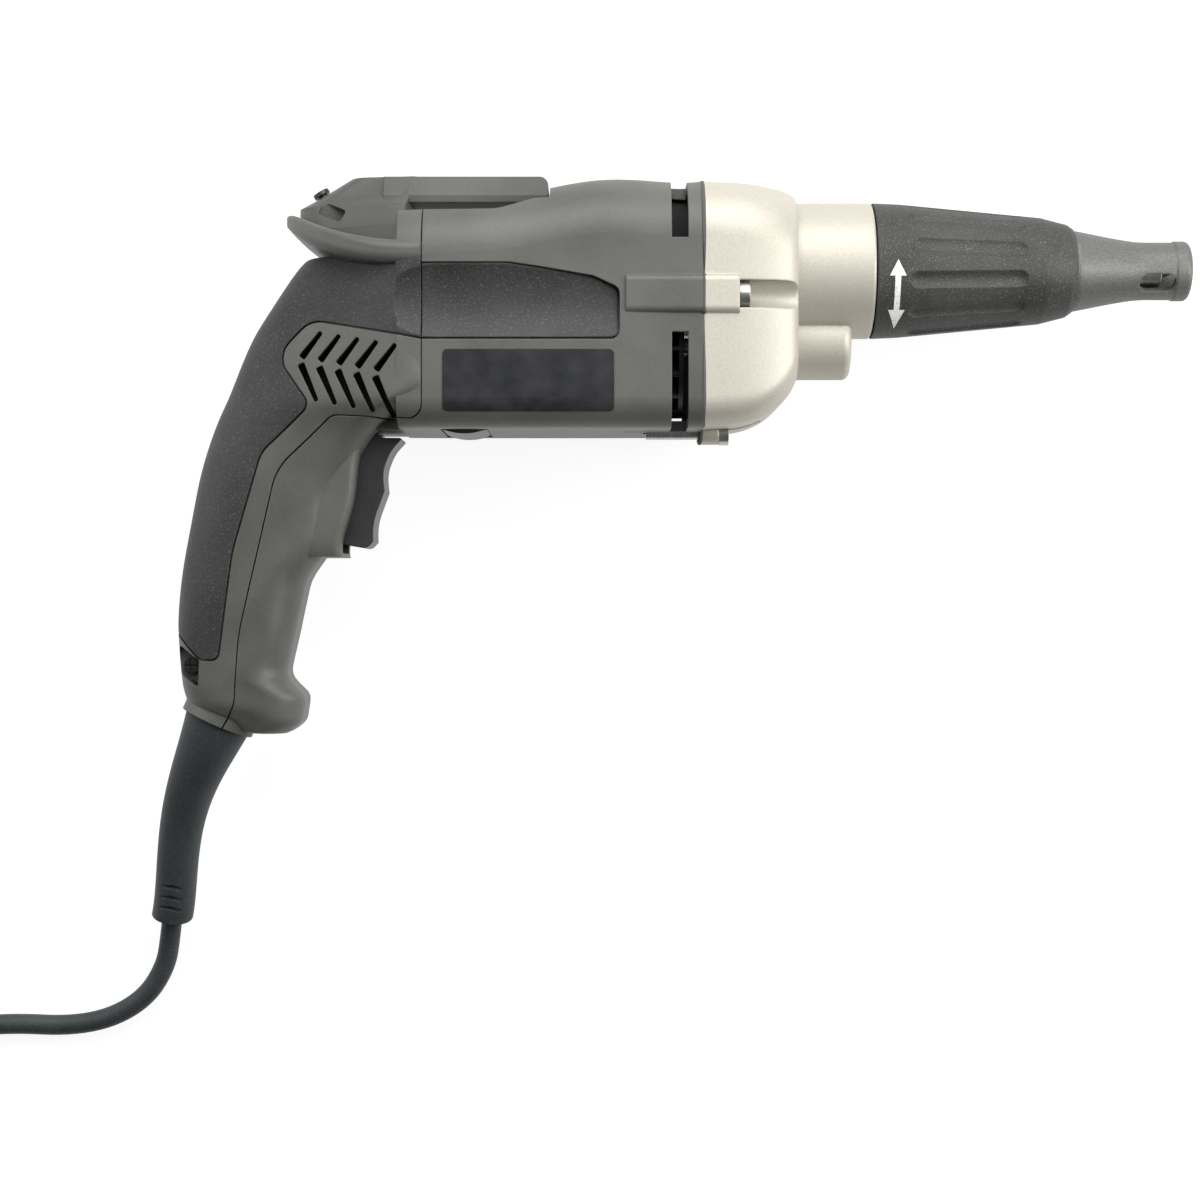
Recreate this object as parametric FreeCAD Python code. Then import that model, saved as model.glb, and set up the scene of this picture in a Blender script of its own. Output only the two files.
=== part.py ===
import FreeCAD, Part
import math
import os

from FreeCAD import Vector

# Corded pistol-grip screwdriver for plasterboard, in millimetres.
# Drawing frame: X runs along the spindle from the gear case seam to the nose, Y from the handle's foot
# to the barrel's top, and Z sideways. The spindle's axis is the X axis. At the end the tool is laid on
# its side, with the origin on the surface below the middle of its box.

# Clearances and cuts
RUNNING_CLEARANCE = 0.05
SEAT_CLEARANCE = 0.12
MOVING_CLEARANCE = 0.35
PARTING_GAP = 0.35
OVERRUN = 6.0

# Gears
PINION_TEETH = 7
GEAR_TEETH = 49
GEAR_MODULE = 0.857
GEAR_FACE = 11.0
PINION_ADDENDUM_SHARE = 0.85
GEAR_ADDENDUM_SHARE = 0.7
DEDENDUM_SHARE = 1.12
TOOTH_WIDTH_SHARES = ((-1.0, 0.46), (0.0, 0.37), (1.0, 0.18))

# Motor, from the fan back to the rear bearing
SHAFT_RADIUS = 4.0
BEARING_RADIUS = 11.0
BEARING_WIDTH = 7.0
BEARING_SHIELD = 0.6
FAN_SETBACK = 6.0
FAN_DEPTH = 11.0
FAN_RADIUS = 25.0
FAN_DISC = 1.8
FAN_BLADES = 18
FAN_BLADE = 1.4
HUB_RADIUS = 7.5
AIR_GAP = 1.6
BAFFLE_THICKNESS = 1.4
BAFFLE_BORE = 20.0
END_TURN = 7.0
STACK_LENGTH = 32.0
ARMATURE_RADIUS = 16.0
ARMATURE_SLOTS = 12
SLOT_WIDTH = 2.4
SLOT_DEPTH = 4.5
FIELD_GAP = 0.6
FIELD_HALF_HEIGHT = 25.4
FIELD_HALF_WIDTH = 27.5
FIELD_CORNER = 14.0
COIL_THICKNESS = 6.2
POLE_HALF_WIDTH = 13.5
COIL_SPREAD = 68.0
COMMUTATOR_GAP = 3.0
COMMUTATOR_RADIUS = 11.0
COMMUTATOR_LENGTH = 11.0
COMMUTATOR_BARS = 24
BAR_SLIT = 0.7
BRUSH_WIDTH = 6.4
BRUSH_HEIGHT = 5.2
BRUSH_LENGTH = 12.0
HOLDER_WALL = 1.6
BRUSH_WIRE = 0.8

# Moulded housing
SHELL_WALL = 3.2
GRIP_SKIN = 1.6
BODY_TOP = 28.0
BODY_BOTTOM = 53.9
BODY_HALF_WIDTH = 33.8
BODY_TOP_RADIUS = 20.0
BODY_LOW_RADIUS = 9.0
BODY_LAP = 8.0
SIDE_REST = 34.0
GRIP_REACH = 83.0
FOOT_DROP = 153.5
HANDLE_HALF_WIDTH = 17.8
FOOT_ROWS = 3
BLOCK_HALF_WIDTH = 17.3
BLOCK_EDGE = 2.6
GRIP_GROOVE = 0.6
LIP_WALL = 1.3
LIP_REACH = 2.4
SCOOP_DEPTH = 3.0
SCOOP_TOP = 1.5
SCOOP_BOTTOM = 26.2
SCOOP_FRONT = 27.0
SCOOP_CORNER = 3.0
VENT_FRONT = 5.0
VENT_WIDTH = 5.3
VENT_TOP_END = 6.5
VENT_LOW_END = 23.7
VENT_RIB = 3.0
LOUVRE_COUNT = 5
LOUVRE_WIDTH = 2.5
LOUVRE_BRIDGE = 1.1
LOUVRE_END_SHARE = 0.6
GUIDE_THICKNESS = 2.0
WINDOW_FLOOR = 3.5
COVER_SCREW_RADIUS = 1.5
COVER_SCREW_HEAD = 2.7
WEB_THICKNESS = 3.0
FRAME_DEPTH = 4.0
COLLAR_RADIUS = 12.4
COLLAR_LIP = 5.0
COLLAR_DEPTH = 18.0
COLLAR_LEAN = 24.0

# Gear case, neck and screws
GEAR_CASE_LENGTH = 30.7
GEAR_WALL = 3.0
GEAR_SHOULDER = 0.6
PLATE_THICKNESS = 5.0
NECK_RADIUS = 22.4
NECK_END = 56.5
NECK_EDGE = 0.9
BOSS_RADIUS = 12.2
BOSS_END = 49.5
BOSS_EDGE = 2.6
PINION_BUSH_RADIUS = 4.2
PINION_BUSH_LENGTH = 10.0
SCREW_DROP = 11.5
SCREW_INSET = 4.6
SCREW_RADIUS = 2.2
SCREW_HEAD_RADIUS = 4.1
SCREW_HEAD = 3.4
SCREW_GRIP = 18.0
SCREW_RUNOUT = 1.0
SCREW_SOCKET = 2.0
SCREW_BOSS_HALF = 6.2
SCREW_BOSS_BACK = 25.0
SCREW_BOSS_FRONT = 11.3
LOW_SCREW_DROP = 53.9
LOW_BOSS_DEPTH = 3.7
LOW_BOSS_FRONT = 6.0

# Spindle line
JOURNAL_RADIUS = 5.0
SPINDLE_RADIUS = 7.0
SPINDLE_END = 88.0
CLUTCH_RADIUS = 13.0
CLUTCH_BORE = 9.0
CLUTCH_FLANGE = 4.1
JAW_COUNT = 3
JAW_SWEEP = 46.0
JAW_HEIGHT = 2.8
CLUTCH_GAP = 0.6
SPRING_WIRE = 1.1
SPRING_RADIUS = 6.55
SPRING_TURNS = 5
WASHER_THICKNESS = 1.0
BUSH_WALL = 3.5
BUSH_LENGTH = 23.0
CHAMBER_RADIUS = 14.5
NOZZLE_RADIUS = 13.0
NOZZLE_END = 80.0
SEAL_LENGTH = 4.0
SEAL_RADIUS = 10.5
HUB_WALL = 2.6
PLATE_LIP = 0.6
JOURNAL_TAIL = 0.5
HEX_FLATS = 6.35
HEX_DEPTH = 19.0
HOLDER_RADIUS = 5.5
HOLDER_END = 153.0
BIT_TIP = 158.0
BIT_POINT = 6.0
BIT_POINT_RADIUS = 3.0
BIT_SEAT = 16.0
BIT_WING = 1.3

# Depth adjuster
SLEEVE_RADIUS = 22.0
SLEEVE_SKIRT = 9.0
SLEEVE_SHOULDER_RADIUS = 17.6
SLEEVE_SHOULDER = 112.7
SLEEVE_EDGE_RADIUS = 15.4
SLEEVE_EDGE = 121.4
SLEEVE_END = 123.4
SLEEVE_BORE = 15.9
SLEEVE_LIP = 3.5
SLEEVE_STEP = 0.4
FLUTE_COUNT = 12
FLUTE_RADIUS = 4.6
FLUTE_DEPTH = 1.1
RING_WIDTH = 1.4
RING_DEPTH = 1.0
RING_PROUD = 1.8
NOSE_BACK = 8.0
NOSE_OUT = 2.0
NOSE_ROOT_RADIUS = 13.3
NOSE_TUBE_WALL = 2.0
NOSE_TIP_RADIUS = 9.55
NOSE_RIM_RADIUS = 9.9
NOSE_RIM = 5.0
NOSE_FLARE = 80.0
NOSE_BORE = 6.6
NOSE_CONE_START = 124.7
NOSE_CONE_END = 145.0
NOSE_END = 162.3
NOSE_TIP_EDGE = 1.8
WINDOW_LENGTH = 12.0
WINDOW_WIDTH = 6.4
WINDOW_CENTRE = 150.8
WINDOW_TURN = 33.0
WINDOW_COUNT = 2
KEY_WIDTH = 4.0
KEY_DEPTH = 1.4
KEY_LENGTH = 8.0

# Trigger, switch and buttons
TRIGGER_LEAN = 10.4
TRIGGER_HALF_WIDTH = 9.3
POCKET_TOP = 54.0
POCKET_BOTTOM = 94.0
FLANK_TOP = 110.6
SWITCH_DEPTH = 22.0
SWITCH_HEIGHT = 34.0
SWITCH_HALF_WIDTH = 10.0
SWITCH_EDGE = 1.5
SWITCH_SETBACK = 16.5
TRIGGER_REAR = 8.5
TRIGGER_FOOT = 34.5
TRIGGER_HEAD = 3.4
PLUNGER_LENGTH = 16.0
PLUNGER_RADIUS = 2.6
RETURN_WIRE = 0.7
RETURN_RADIUS = 4.0
RETURN_TURNS = 5
RIB_WIDTH = 9.0
RIB_THICKNESS = 3.0
BUTTON_RADIUS = 4.6
BUTTON_HEAD = 1.2
BUTTON_PROUD = 2.4
BUTTON_PRESS = 2.0
BAR_LENGTH = 14.7
BAR_HALF_SPAN = 16.0
BAR_THICKNESS = 3.0
BAR_PROUD = 1.2
BAR_RISE = 1.5
BAR_THROW = 3.0
BAR_STEM = 2.8
BAR_STEM_HEIGHT = 4.6
BAR_CENTRE = 77.6
BAR_FLOOR = 3.0

# Belt hook
HOOK_TOP = 30.2
HOOK_BEVEL = 23.6
HOOK_UNDER = 21.0
HOOK_TIP = 50.3
HOOK_HALF_WIDTH = 12.4
HOOK_TOP_HALF_WIDTH = 8.6
HOOK_EDGE = 1.1
HOOK_SADDLE_EDGE = 1.4
HOOK_TIP_EDGE = 3.4
BELT_FLOOR = 16.4
BELT_RAMP = 12.0
BELT_NOTCH = 4.2
BELT_END_GAP = 0.8
HOOK_SLOT_LENGTH = 8.7
HOOK_SLOT_WIDTH = 4.6
HOOK_SLOT_TURN = 24.0
HOOK_SLOT_FLOOR = 9.0
HOOK_SLOT_EDGE = 1.2
HOOK_SCREW_RADIUS = 1.6
HOOK_SCREW_HEAD = 2.8
HOOK_SCREW_PROUD = 1.3
HOOK_SCREW_LENGTH = 13.0
HOOK_SCREW_LEAN = 30.7

# Cord, strain relief and plug
CORD_RADIUS = 3.5
RELIEF_TOP_RADIUS = 11.0
RELIEF_END_RADIUS = 7.0
RELIEF_SHANK = 8.6
RELIEF_FLANGE = 10.4
RELIEF_FLANGE_WIDTH = 3.0
RELIEF_GROOVE = 1.3
RELIEF_GROOVE_DEPTH = 0.9
CLAMP_LENGTH = 20.0
CLAMP_WIDTH = 8.0
CLAMP_THICKNESS = 3.0
CLAMP_SCREW_LENGTH = 7.5
CLAMP_SCREW_RADIUS = 1.6
CLAMP_SCREW_HEAD = 2.9
COIL_PITCH = 7.5
COIL_LAYER = 7.45
COIL_OUTER = 57.5
COIL_TURNS = 4
TIE_WIDTH = 10.0
TIE_THICKNESS = 0.8
TIE_GAP = 0.35
TIE_SLACK = 0.8
PLUG_LENGTH = 28.0
PLUG_HALF_WIDTH = 13.4
PLUG_TAIL = 16.0
PLUG_REACH = 30.0
PLUG_EDGE = 4.0
BLADE_LENGTH = 16.5
BLADE_WIDTH = 6.35
BLADE_THICKNESS = 1.5
BLADE_SPACING = 12.7

# Route of the cord from its exit: steps in X and Y, and the share of the way down to the surface
RELIEF_STEPS = (
    (0.0, 0.0, 0.0),
    (-4.5, -10.1, 0.072),
    (-11.5, -26.8, 0.275),
    (-16.5, -50.3, 0.564),
    (-19.3, -67.4, 0.78),
)
CORD_STEPS = (
    (-20.7, -75.95, 0.888),
    (-22.6, -85.6, 0.97),
    (-29.3, -96.6, 1.0),
    (-41.3, -104.0, 1.0),
    (-56.3, -106.8, 1.0),
    (-75.3, -105.8, 0.997),
)
COIL_STEP = (-175.7, -49.4)
LEAD_STEPS = ((7.3, 16.4), (13.2, 29.7), (15.9, 40.0), (16.2, 64.0))

# Shares that shape the lofts and outlines
BODY_SHARES = (
    (0.0, 0.985, 0.962),
    (0.27, 1.0, 0.98),
    (0.42, 0.955, 0.99),
    (0.55, 0.865, 0.99),
    (0.72, 0.79, 0.99),
    (0.90, 0.75, 0.985),
    (1.0, 0.735, 0.945),
)
GEAR_CASE_SHARES = (
    (0.0, 0.980, 0.990, 0.962, 0.95),
    (0.30, 0.965, 0.978, 0.957, 0.97),
    (0.58, 0.940, 0.942, 0.938, 1.0),
    (0.83, 0.898, 0.850, 0.888, 1.05),
    (0.95, 0.862, 0.760, 0.828, 1.05),
    (1.0, 0.820, 0.690, 0.765, 1.0),
)
HANDLE_SHARES = (
    (-0.020, 0.749, 0.79, 0.460, 0.66, 0.972, 0.00),
    (0.052, 0.803, 0.84, 0.460, 0.66, 0.982, 0.00),
    (0.130, 0.847, 0.90, 0.460, 0.66, 0.985, 0.00),
    (0.221, 0.884, 0.93, 0.465, 0.64, 0.980, 0.00),
    (0.293, 0.910, 0.96, 0.515, 0.52, 0.930, 0.00),
    (0.358, 0.934, 0.96, 0.618, 0.45, 0.32, 0.66),
    (0.430, 0.954, 0.96, 0.659, 0.51, 0.02, 1.03),
    (0.521, 0.971, 0.94, 0.691, 0.56, 0.00, 1.02),
    (0.625, 0.988, 0.93, 0.723, 0.62, 0.00, 1.00),
    (0.662, 0.993, 0.925, 0.745, 0.64, 0.00, 1.00),
    (0.730, 0.999, 0.92, 0.757, 0.67, 0.00, 1.00),
    (0.834, 0.997, 0.91, 0.778, 0.67, 0.00, 0.98),
    (0.874, 0.994, 0.91, 0.785, 0.67, 0.00, 0.98),
    (0.905, 0.990, 0.90, 0.764, 0.61, 0.00, 0.97),
    (0.936, 0.980, 0.88, 0.753, 0.58, 0.00, 0.95),
    (0.966, 0.944, 0.70, 0.757, 0.52, 0.00, 0.90),
    (0.988, 0.905, 0.55, 0.771, 0.42, 0.00, 0.80),
    (1.000, 0.880, 0.40, 0.790, 0.30, 0.00, 0.62),
)
TAIL_SHARES = (
    (0.517, -0.064, 0.221, 0.99),
    (0.566, -0.057, 0.214, 0.98),
    (0.624, -0.029, 0.257, 0.94),
    (0.682, 0.064, 0.350, 0.817),
    (0.734, 0.214, 0.486, 0.607),
    (0.772, 0.393, 0.607, 0.340),
    (0.790, 0.507, 0.629, 0.118),
)
TAIL_EDGE_SHARE = 0.4
PARTING_SHARES = (
    (0.692, 0.322, 0.28),
    (0.801, 0.433, 1.12),
    (0.873, 0.788, 3.37),
    (0.882, 0.935, 0.45),
    (0.916, 1.003, 0.00),
)
PARTING_CORNER_SHARES = (0.334, 0.25)
GRIP_EDGE_SHARES = (
    (0.734, 0.122, 0.45),
    (0.798, 0.195, 0.39),
    (0.731, 0.302, 0.22),
    (0.827, 0.401, 0.67),
    (0.882, 0.612, 3.37),
    (0.909, 0.844, 0.17),
    (0.948, 0.844, 0.28),
    (1.017, 0.765, 0.00),
)
BLOCK_BACK_SHARE = 0.815
BLOCK_SHARES = (
    (0.322, 0.620, 1.30),
    (0.352, 0.637, 1.12),
    (0.385, 0.643, 1.015),
    (0.430, 0.650, 1.0),
    (0.560, 0.672, 0.985),
    (0.607, 0.680, 0.93),
    (0.621, 0.678, 0.88),
)
GUIDE_SHARES = ((0.90, 0.12), (0.553, 0.12), (0.553, 0.335), (0.705, 0.335), (0.735, 0.322), (0.90, 0.29))
EXIT_SHARES = (0.9266, 0.9785)
LOUVRE_SHARES = ((0.713, 0.147), (0.755, 0.2065), (0.720, 0.2945))
LOUVRE_STEP_SHARES = (0.0361, 0.0081)
COVER_WINDOW_SHARES = ((0.948, 0.842), (0.994, 0.808), (0.994, 0.868), (0.951, 0.902))
HOOK_SHARES = (
    (0.15, 0.760, 1.07, 0.563, 2.30),
    (0.40, 0.766, 0.90, 0.560, 1.95),
    (0.665, 0.767, 0.52, 0.555, 1.38),
    (0.782, 0.730, 0.46, 0.549, 1.016),
    (1.0, 0.669, 0.36, 0.538, 0.694),
)
HOOK_SLOT_SHARES = (0.699, 0.589)
HOOK_SCREW_SHARES = (0.7275, 0.862)
TRIGGER_SHARES = (
    (0.566, 0.3655, 0.05),
    (0.588, 0.392, 1.5),
    (0.6045, 0.435, 1.5),
    (0.6005, 0.4795, 0.03),
    (0.623, 0.548, 2.3),
    (0.622, 0.588, 0.06),
    (0.634, 0.603, 0.27),
)
ROUND_END_SHARE = 0.98
RIB_SHARES = (0.2, 0.9)
BUTTON_SHARE = 0.3
PLUNGER_SHARE = 0.45
CORNER_RUN_SHARE = 0.45
GROOVE_SHARES = (0.32, 0.54, 0.76)
SCOOP_NOSE_SHARES = ((0.56, 0.0), (0.40, 0.06), (0.13, 0.18))
NOSE_CURVE_SHARES = (0.6, 0.36)
WEB_HOLE_SHARES = (0.62, 0.2)
RELIEF_RADIUS_SHARES = (1.0, 0.62, 0.2, 0.0, 0.0)

# Counts and unit shapes
GAP_POINTS = 7
SQUARE = ((-1, -1), (1, -1), (1, 1), (-1, 1))

# Worked-out sizes
X_AXIS = Vector(1, 0, 0)
Y_AXIS = Vector(0, 1, 0)
Z_AXIS = Vector(0, 0, 1)
MOTOR_DROP = (PINION_TEETH + GEAR_TEETH) * GEAR_MODULE / 2
FAN_REAR = -FAN_SETBACK - FAN_DEPTH
STACK_FRONT = FAN_REAR - AIR_GAP - BAFFLE_THICKNESS - AIR_GAP - END_TURN
STACK_REAR = STACK_FRONT - STACK_LENGTH
COMMUTATOR_FRONT = STACK_REAR - END_TURN - COMMUTATOR_GAP
COMMUTATOR_REAR = COMMUTATOR_FRONT - COMMUTATOR_LENGTH
REAR_BEARING_FRONT = COMMUTATOR_REAR - AIR_GAP
REAR_BEARING_REAR = REAR_BEARING_FRONT - BEARING_WIDTH
COVER_SEAM = -REAR_BEARING_REAR + PARTING_GAP
BODY_LENGTH = COVER_SEAM + BODY_LAP
HANDLE_REACH = COVER_SEAM + GRIP_REACH
SPAN = HANDLE_REACH + FOOT_DROP
FIELD_BORE = ARMATURE_RADIUS + FIELD_GAP
COIL_INNER = FIELD_BORE + FIELD_GAP
COIL_RING = COIL_INNER + COIL_THICKNESS
PLATE_FRONT = PLATE_THICKNESS
FRONT_BEARING_FRONT = PLATE_FRONT - PLATE_LIP
FRONT_BEARING_REAR = FRONT_BEARING_FRONT - BEARING_WIDTH
GEAR_REAR = PLATE_FRONT + AIR_GAP + AIR_GAP
GEAR_FRONT = GEAR_REAR + GEAR_FACE
JAW_FRONT = GEAR_FRONT + JAW_HEIGHT
SPINDLE_JAW_REAR = JAW_FRONT + CLUTCH_GAP
FLANGE_REAR = SPINDLE_JAW_REAR + JAW_HEIGHT - RUNNING_CLEARANCE
FLANGE_FRONT = FLANGE_REAR + CLUTCH_FLANGE
WASHER_REAR = FLANGE_FRONT + SEAT_CLEARANCE
WASHER_FRONT = WASHER_REAR + WASHER_THICKNESS
BUSH_REAR = WASHER_FRONT + SEAT_CLEARANCE
BUSH_FRONT = BUSH_REAR + BUSH_LENGTH
BUSH_RADIUS = SPINDLE_RADIUS + BUSH_WALL
SPRING_SEAT = GEAR_REAR + GEAR_FACE / 2
SPRING_POCKET = SPRING_RADIUS + SPRING_WIRE
SLEEVE_REAR = NECK_END + MOVING_CLEARANCE
LIP_FRONT = SLEEVE_REAR + SLEEVE_LIP
RING_REAR = LIP_FRONT + MOVING_CLEARANCE
RING_FRONT = RING_REAR + RING_WIDTH
NOSE_REAR = RING_FRONT + MOVING_CLEARANCE + NOSE_BACK
NOSE_TUBE_RADIUS = NOZZLE_RADIUS + MOVING_CLEARANCE + NOSE_TUBE_WALL
NOSE_STEP = NOZZLE_END + MOVING_CLEARANCE + NOSE_BACK
NOSE_WAIST = SPINDLE_END + MOVING_CLEARANCE + NOSE_BACK
MOUTH_REAR = SLEEVE_EDGE - SLEEVE_LIP
NOSE_SHOULDER = MOUTH_REAR - MOVING_CLEARANCE - NOSE_OUT
PULL = Vector(-math.cos(math.radians(TRIGGER_LEAN)), math.sin(math.radians(TRIGGER_LEAN)), 0)
DOWN = Vector(-math.sin(math.radians(TRIGGER_LEAN)), -math.cos(math.radians(TRIGGER_LEAN)), 0)
EXIT = Vector(-EXIT_SHARES[0] * HANDLE_REACH, -EXIT_SHARES[1] * FOOT_DROP, 0)
EXIT_AIM = Vector(-math.sin(math.radians(COLLAR_LEAN)), -math.cos(math.radians(COLLAR_LEAN)), 0)
COLLAR_BORE = RELIEF_SHANK + SEAT_CLEARANCE
CORD_FALL = SIDE_REST - CORD_RADIUS
COIL_LOW = -SIDE_REST + TIE_THICKNESS + TIE_GAP + CORD_RADIUS
COIL_INNERMOST = COIL_OUTER - COIL_PITCH * COIL_TURNS
COIL_X = EXIT.x + COIL_STEP[0]
COIL_Y = EXIT.y + COIL_STEP[1]


# Plain forms

def corner_wire(corners, lift):
    """Closed wire through (a, b, radius) corners, put into space by lift(a, b)."""
    edges = []
    spans = []
    for index, (a, b, radius) in enumerate(corners):
        here = Vector(a, b, 0)
        back = Vector(corners[index - 1][0], corners[index - 1][1], 0) - here
        ahead_corner = corners[(index + 1) % len(corners)]
        ahead = Vector(ahead_corner[0], ahead_corner[1], 0) - here
        back.normalize()
        ahead.normalize()
        half = back.getAngle(ahead) / 2
        run = radius / math.tan(half)
        middle = here + (back + ahead).normalize() * (radius / math.sin(half) - radius) if radius else here
        spans.append((here + back * run, middle, here + ahead * run, radius))
    for index, (start, middle, end, radius) in enumerate(spans):
        if radius:
            bend = [lift(point.x, point.y) for point in (start, middle, end)]
            edges.append(Part.Arc(*bend).toShape())
        onward = spans[(index + 1) % len(spans)][0]
        if end.distanceToPoint(onward) > RUNNING_CLEARANCE / SPAN:
            edges.append(Part.LineSegment(lift(end.x, end.y), lift(onward.x, onward.y)).toShape())
    return Part.Wire(edges)


def prism(corners, low, high):
    """Outline in the XY plane, drawn through from Z low to Z high."""
    wire = corner_wire(corners, lambda a, b: Vector(a, b, low))
    return Part.Face(wire).extrude(Vector(0, 0, high - low))


def bar(corners, start, end):
    """Outline in the YZ plane, drawn along X."""
    wire = corner_wire(corners, lambda a, b: Vector(start, a, b))
    return Part.Face(wire).extrude(Vector(end - start, 0, 0))


def turned(corners, drop=0.0):
    """Profile of (x, radius, corner radius) turned about the line Y = -drop."""
    wire = corner_wire(corners, lambda a, b: Vector(a, b - drop, 0))
    return Part.Face(wire).revolve(Vector(0, -drop, 0), X_AXIS, 360)


def rod(radius, start, end, y=0.0, z=0.0):
    return Part.makeCylinder(radius, end - start, Vector(start, y, z), X_AXIS)


def ring(outer, inner, start, end, y=0.0, z=0.0):
    return rod(outer, start, end, y, z).cut(rod(inner, start - OVERRUN, end + OVERRUN, y, z))


def block(x_span, y_span, z_span):
    size = [high - low for low, high in (x_span, y_span, z_span)]
    return Part.makeBox(*size, Vector(x_span[0], y_span[0], z_span[0]))


def slab(start, end):
    return block((start, end), (-SPAN, SPAN), (-SPAN, SPAN))


def mirrored(shape):
    return shape.mirror(Vector(0, 0, 0), Z_AXIS)


def both_sides(shape):
    return shape.fuse(mirrored(shape))


def fused(shapes):
    return shapes[0].multiFuse(shapes[1:])


def hex_bar(flats, start, end):
    corner = flats / math.sqrt(3)
    turns = [math.radians(60 * step) for step in range(6)]
    return bar([(corner * math.cos(turn), corner * math.sin(turn), 0.0) for turn in turns], start, end)


def around(shape, count, drop=0.0, first=0.0):
    """Copies of a shape, evenly spaced about the line Y = -drop."""
    copies = []
    for index in range(count):
        copy = shape.copy()
        copy.rotate(Vector(0, -drop, 0), X_AXIS, first + 360.0 * index / count)
        copies.append(copy)
    return copies


def round_rectangle(x, low, high, half_width, low_radius, high_radius):
    corners = (
        (low, -half_width, low_radius),
        (low, half_width, low_radius),
        (high, half_width, high_radius),
        (high, -half_width, high_radius),
    )
    return corner_wire(corners, lambda a, b: Vector(x, a, b))


def egg(y, back, back_radius, front, front_radius, half_width):
    """Level section with a round back, straight sides and two rounded front corners."""
    hub = Vector(back + back_radius, y, 0)
    corner = Vector(front - front_radius, y, half_width - front_radius)
    reach = corner - hub
    turn = math.atan2(reach.z, reach.x) + math.acos((back_radius - front_radius) / reach.Length)
    out = Vector(math.cos(turn), 0, math.sin(turn))
    between = (out + X_AXIS).normalize()
    flip = lambda point: Vector(point.x, point.y, -point.z)
    leave = hub + out * back_radius
    meet = corner + out * front_radius
    bend = corner + between * front_radius
    nose = corner + X_AXIS * front_radius
    edges = (
        Part.Arc(flip(leave), Vector(back, y, 0), leave),
        Part.LineSegment(leave, meet),
        Part.Arc(meet, bend, nose),
        Part.LineSegment(nose, flip(nose)),
        Part.Arc(flip(nose), flip(bend), flip(meet)),
        Part.LineSegment(flip(meet), flip(leave)),
    )
    return Part.Wire([edge.toShape() for edge in edges])


def biarc(start, start_aim, end, end_aim):
    """Two arcs that join two points along given directions."""
    gap = end - start
    lean = gap.dot(start_aim + end_aim)
    spread = 2 * (1 - start_aim.dot(end_aim))
    step = (math.sqrt(lean * lean + spread * gap.dot(gap)) - lean) / spread
    middle = (start + end + (start_aim - end_aim) * step) / 2
    edges = []
    for first, last, aim in ((start, middle, start_aim), (end, middle, end_aim * -1)):
        chord = last - first
        along = Vector(chord).normalize()
        side = (aim - along * aim.dot(along)).normalize()
        rise = chord.Length / 2 * math.tan(aim.getAngle(along) / 2)
        edges.append(Part.Arc(first, (first + last) / 2 + side * rise, last).toShape())
    return edges


def wound(place, count, tail, end_tail):
    """Unbroken line of biarcs through place(0) to place(count), with a straight tail at each end."""
    fine = 1e-5
    points = [place(step) for step in range(count + 1)]
    aims = []
    for step in range(count + 1):
        low = max(step - fine, 0)
        high = min(step + fine, count)
        aims.append((place(high) - place(low)).normalize())
    edges = []
    if tail:
        edges.append(Part.LineSegment(points[0] - aims[0] * tail, points[0]).toShape())
    for step in range(count):
        edges.extend(biarc(points[step], aims[step], points[step + 1], aims[step + 1]))
    if end_tail:
        edges.append(Part.LineSegment(points[-1], points[-1] + aims[-1] * end_tail).toShape())
    return edges, points[0] - aims[0] * tail, aims[0], points[-1] + aims[-1] * end_tail, aims[-1]


def tube(edges, start, aim, radius):
    """Round tube along joined edges."""
    profile = Part.Wire(Part.Circle(start, aim, radius).toShape())
    return Part.Wire(Part.__sortEdges__(edges)).makePipeShell([profile], True, False)


def coil_spring(base, aim, radius, wire, turns, length):
    """Open spring from a base point along a direction."""
    side = aim.cross(Z_AXIS if abs(aim.z) < abs(aim.x) else X_AXIS).normalize()
    other = aim.cross(side)

    def place(step):
        turn = step * math.pi / 2
        rise = wire / 2 + (length - wire) * step / (4 * turns)
        return base + aim * rise + side * (radius * math.cos(turn)) + other * (radius * math.sin(turn))
    edges, first, heading, _, _ = wound(place, 4 * turns, 0, 0)
    return tube(edges, first, heading, wire / 2)


# Housing forms, each drawn with an inset for its cavity or its soft skin

def body_form(inset):
    wires = []
    for along, top, width in BODY_SHARES:
        x = -along * BODY_LENGTH
        if along == 0 and inset:
            x = OVERRUN
        if along == 1:
            x += inset
        wires.append(round_rectangle(
            x,
            -BODY_BOTTOM + inset,
            top * BODY_TOP - inset,
            width * BODY_HALF_WIDTH - inset,
            BODY_LOW_RADIUS - inset,
            BODY_TOP_RADIUS - inset,
        ))
    return Part.makeLoft(wires, True, False)


def handle_form(inset):
    wires = []
    rows = HANDLE_SHARES[:-FOOT_ROWS] if inset else HANDLE_SHARES
    for index, (down, back, back_radius, front, front_radius, body, grip) in enumerate(rows):
        y = -down * FOOT_DROP
        if index == 0:
            y -= inset
        wires.append(egg(
            y,
            -back * HANDLE_REACH + inset,
            back_radius * HANDLE_HALF_WIDTH - inset,
            -front * HANDLE_REACH - inset,
            max(front_radius * HANDLE_HALF_WIDTH - inset, PARTING_GAP),
            body * BODY_HALF_WIDTH + grip * HANDLE_HALF_WIDTH - inset,
        ))
    return Part.makeLoft(wires, True, False)


def tail_form():
    wires = []
    for along, low, high, width in TAIL_SHARES:
        edge = (high - low) * BODY_TOP * TAIL_EDGE_SHARE
        edge = min(edge, width * BODY_HALF_WIDTH * (1 - TAIL_EDGE_SHARE))
        wires.append(round_rectangle(
            -along * HANDLE_REACH, low * BODY_TOP, high * BODY_TOP, width * BODY_HALF_WIDTH, edge, edge))
    return Part.makeLoft(wires, True, False)


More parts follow.
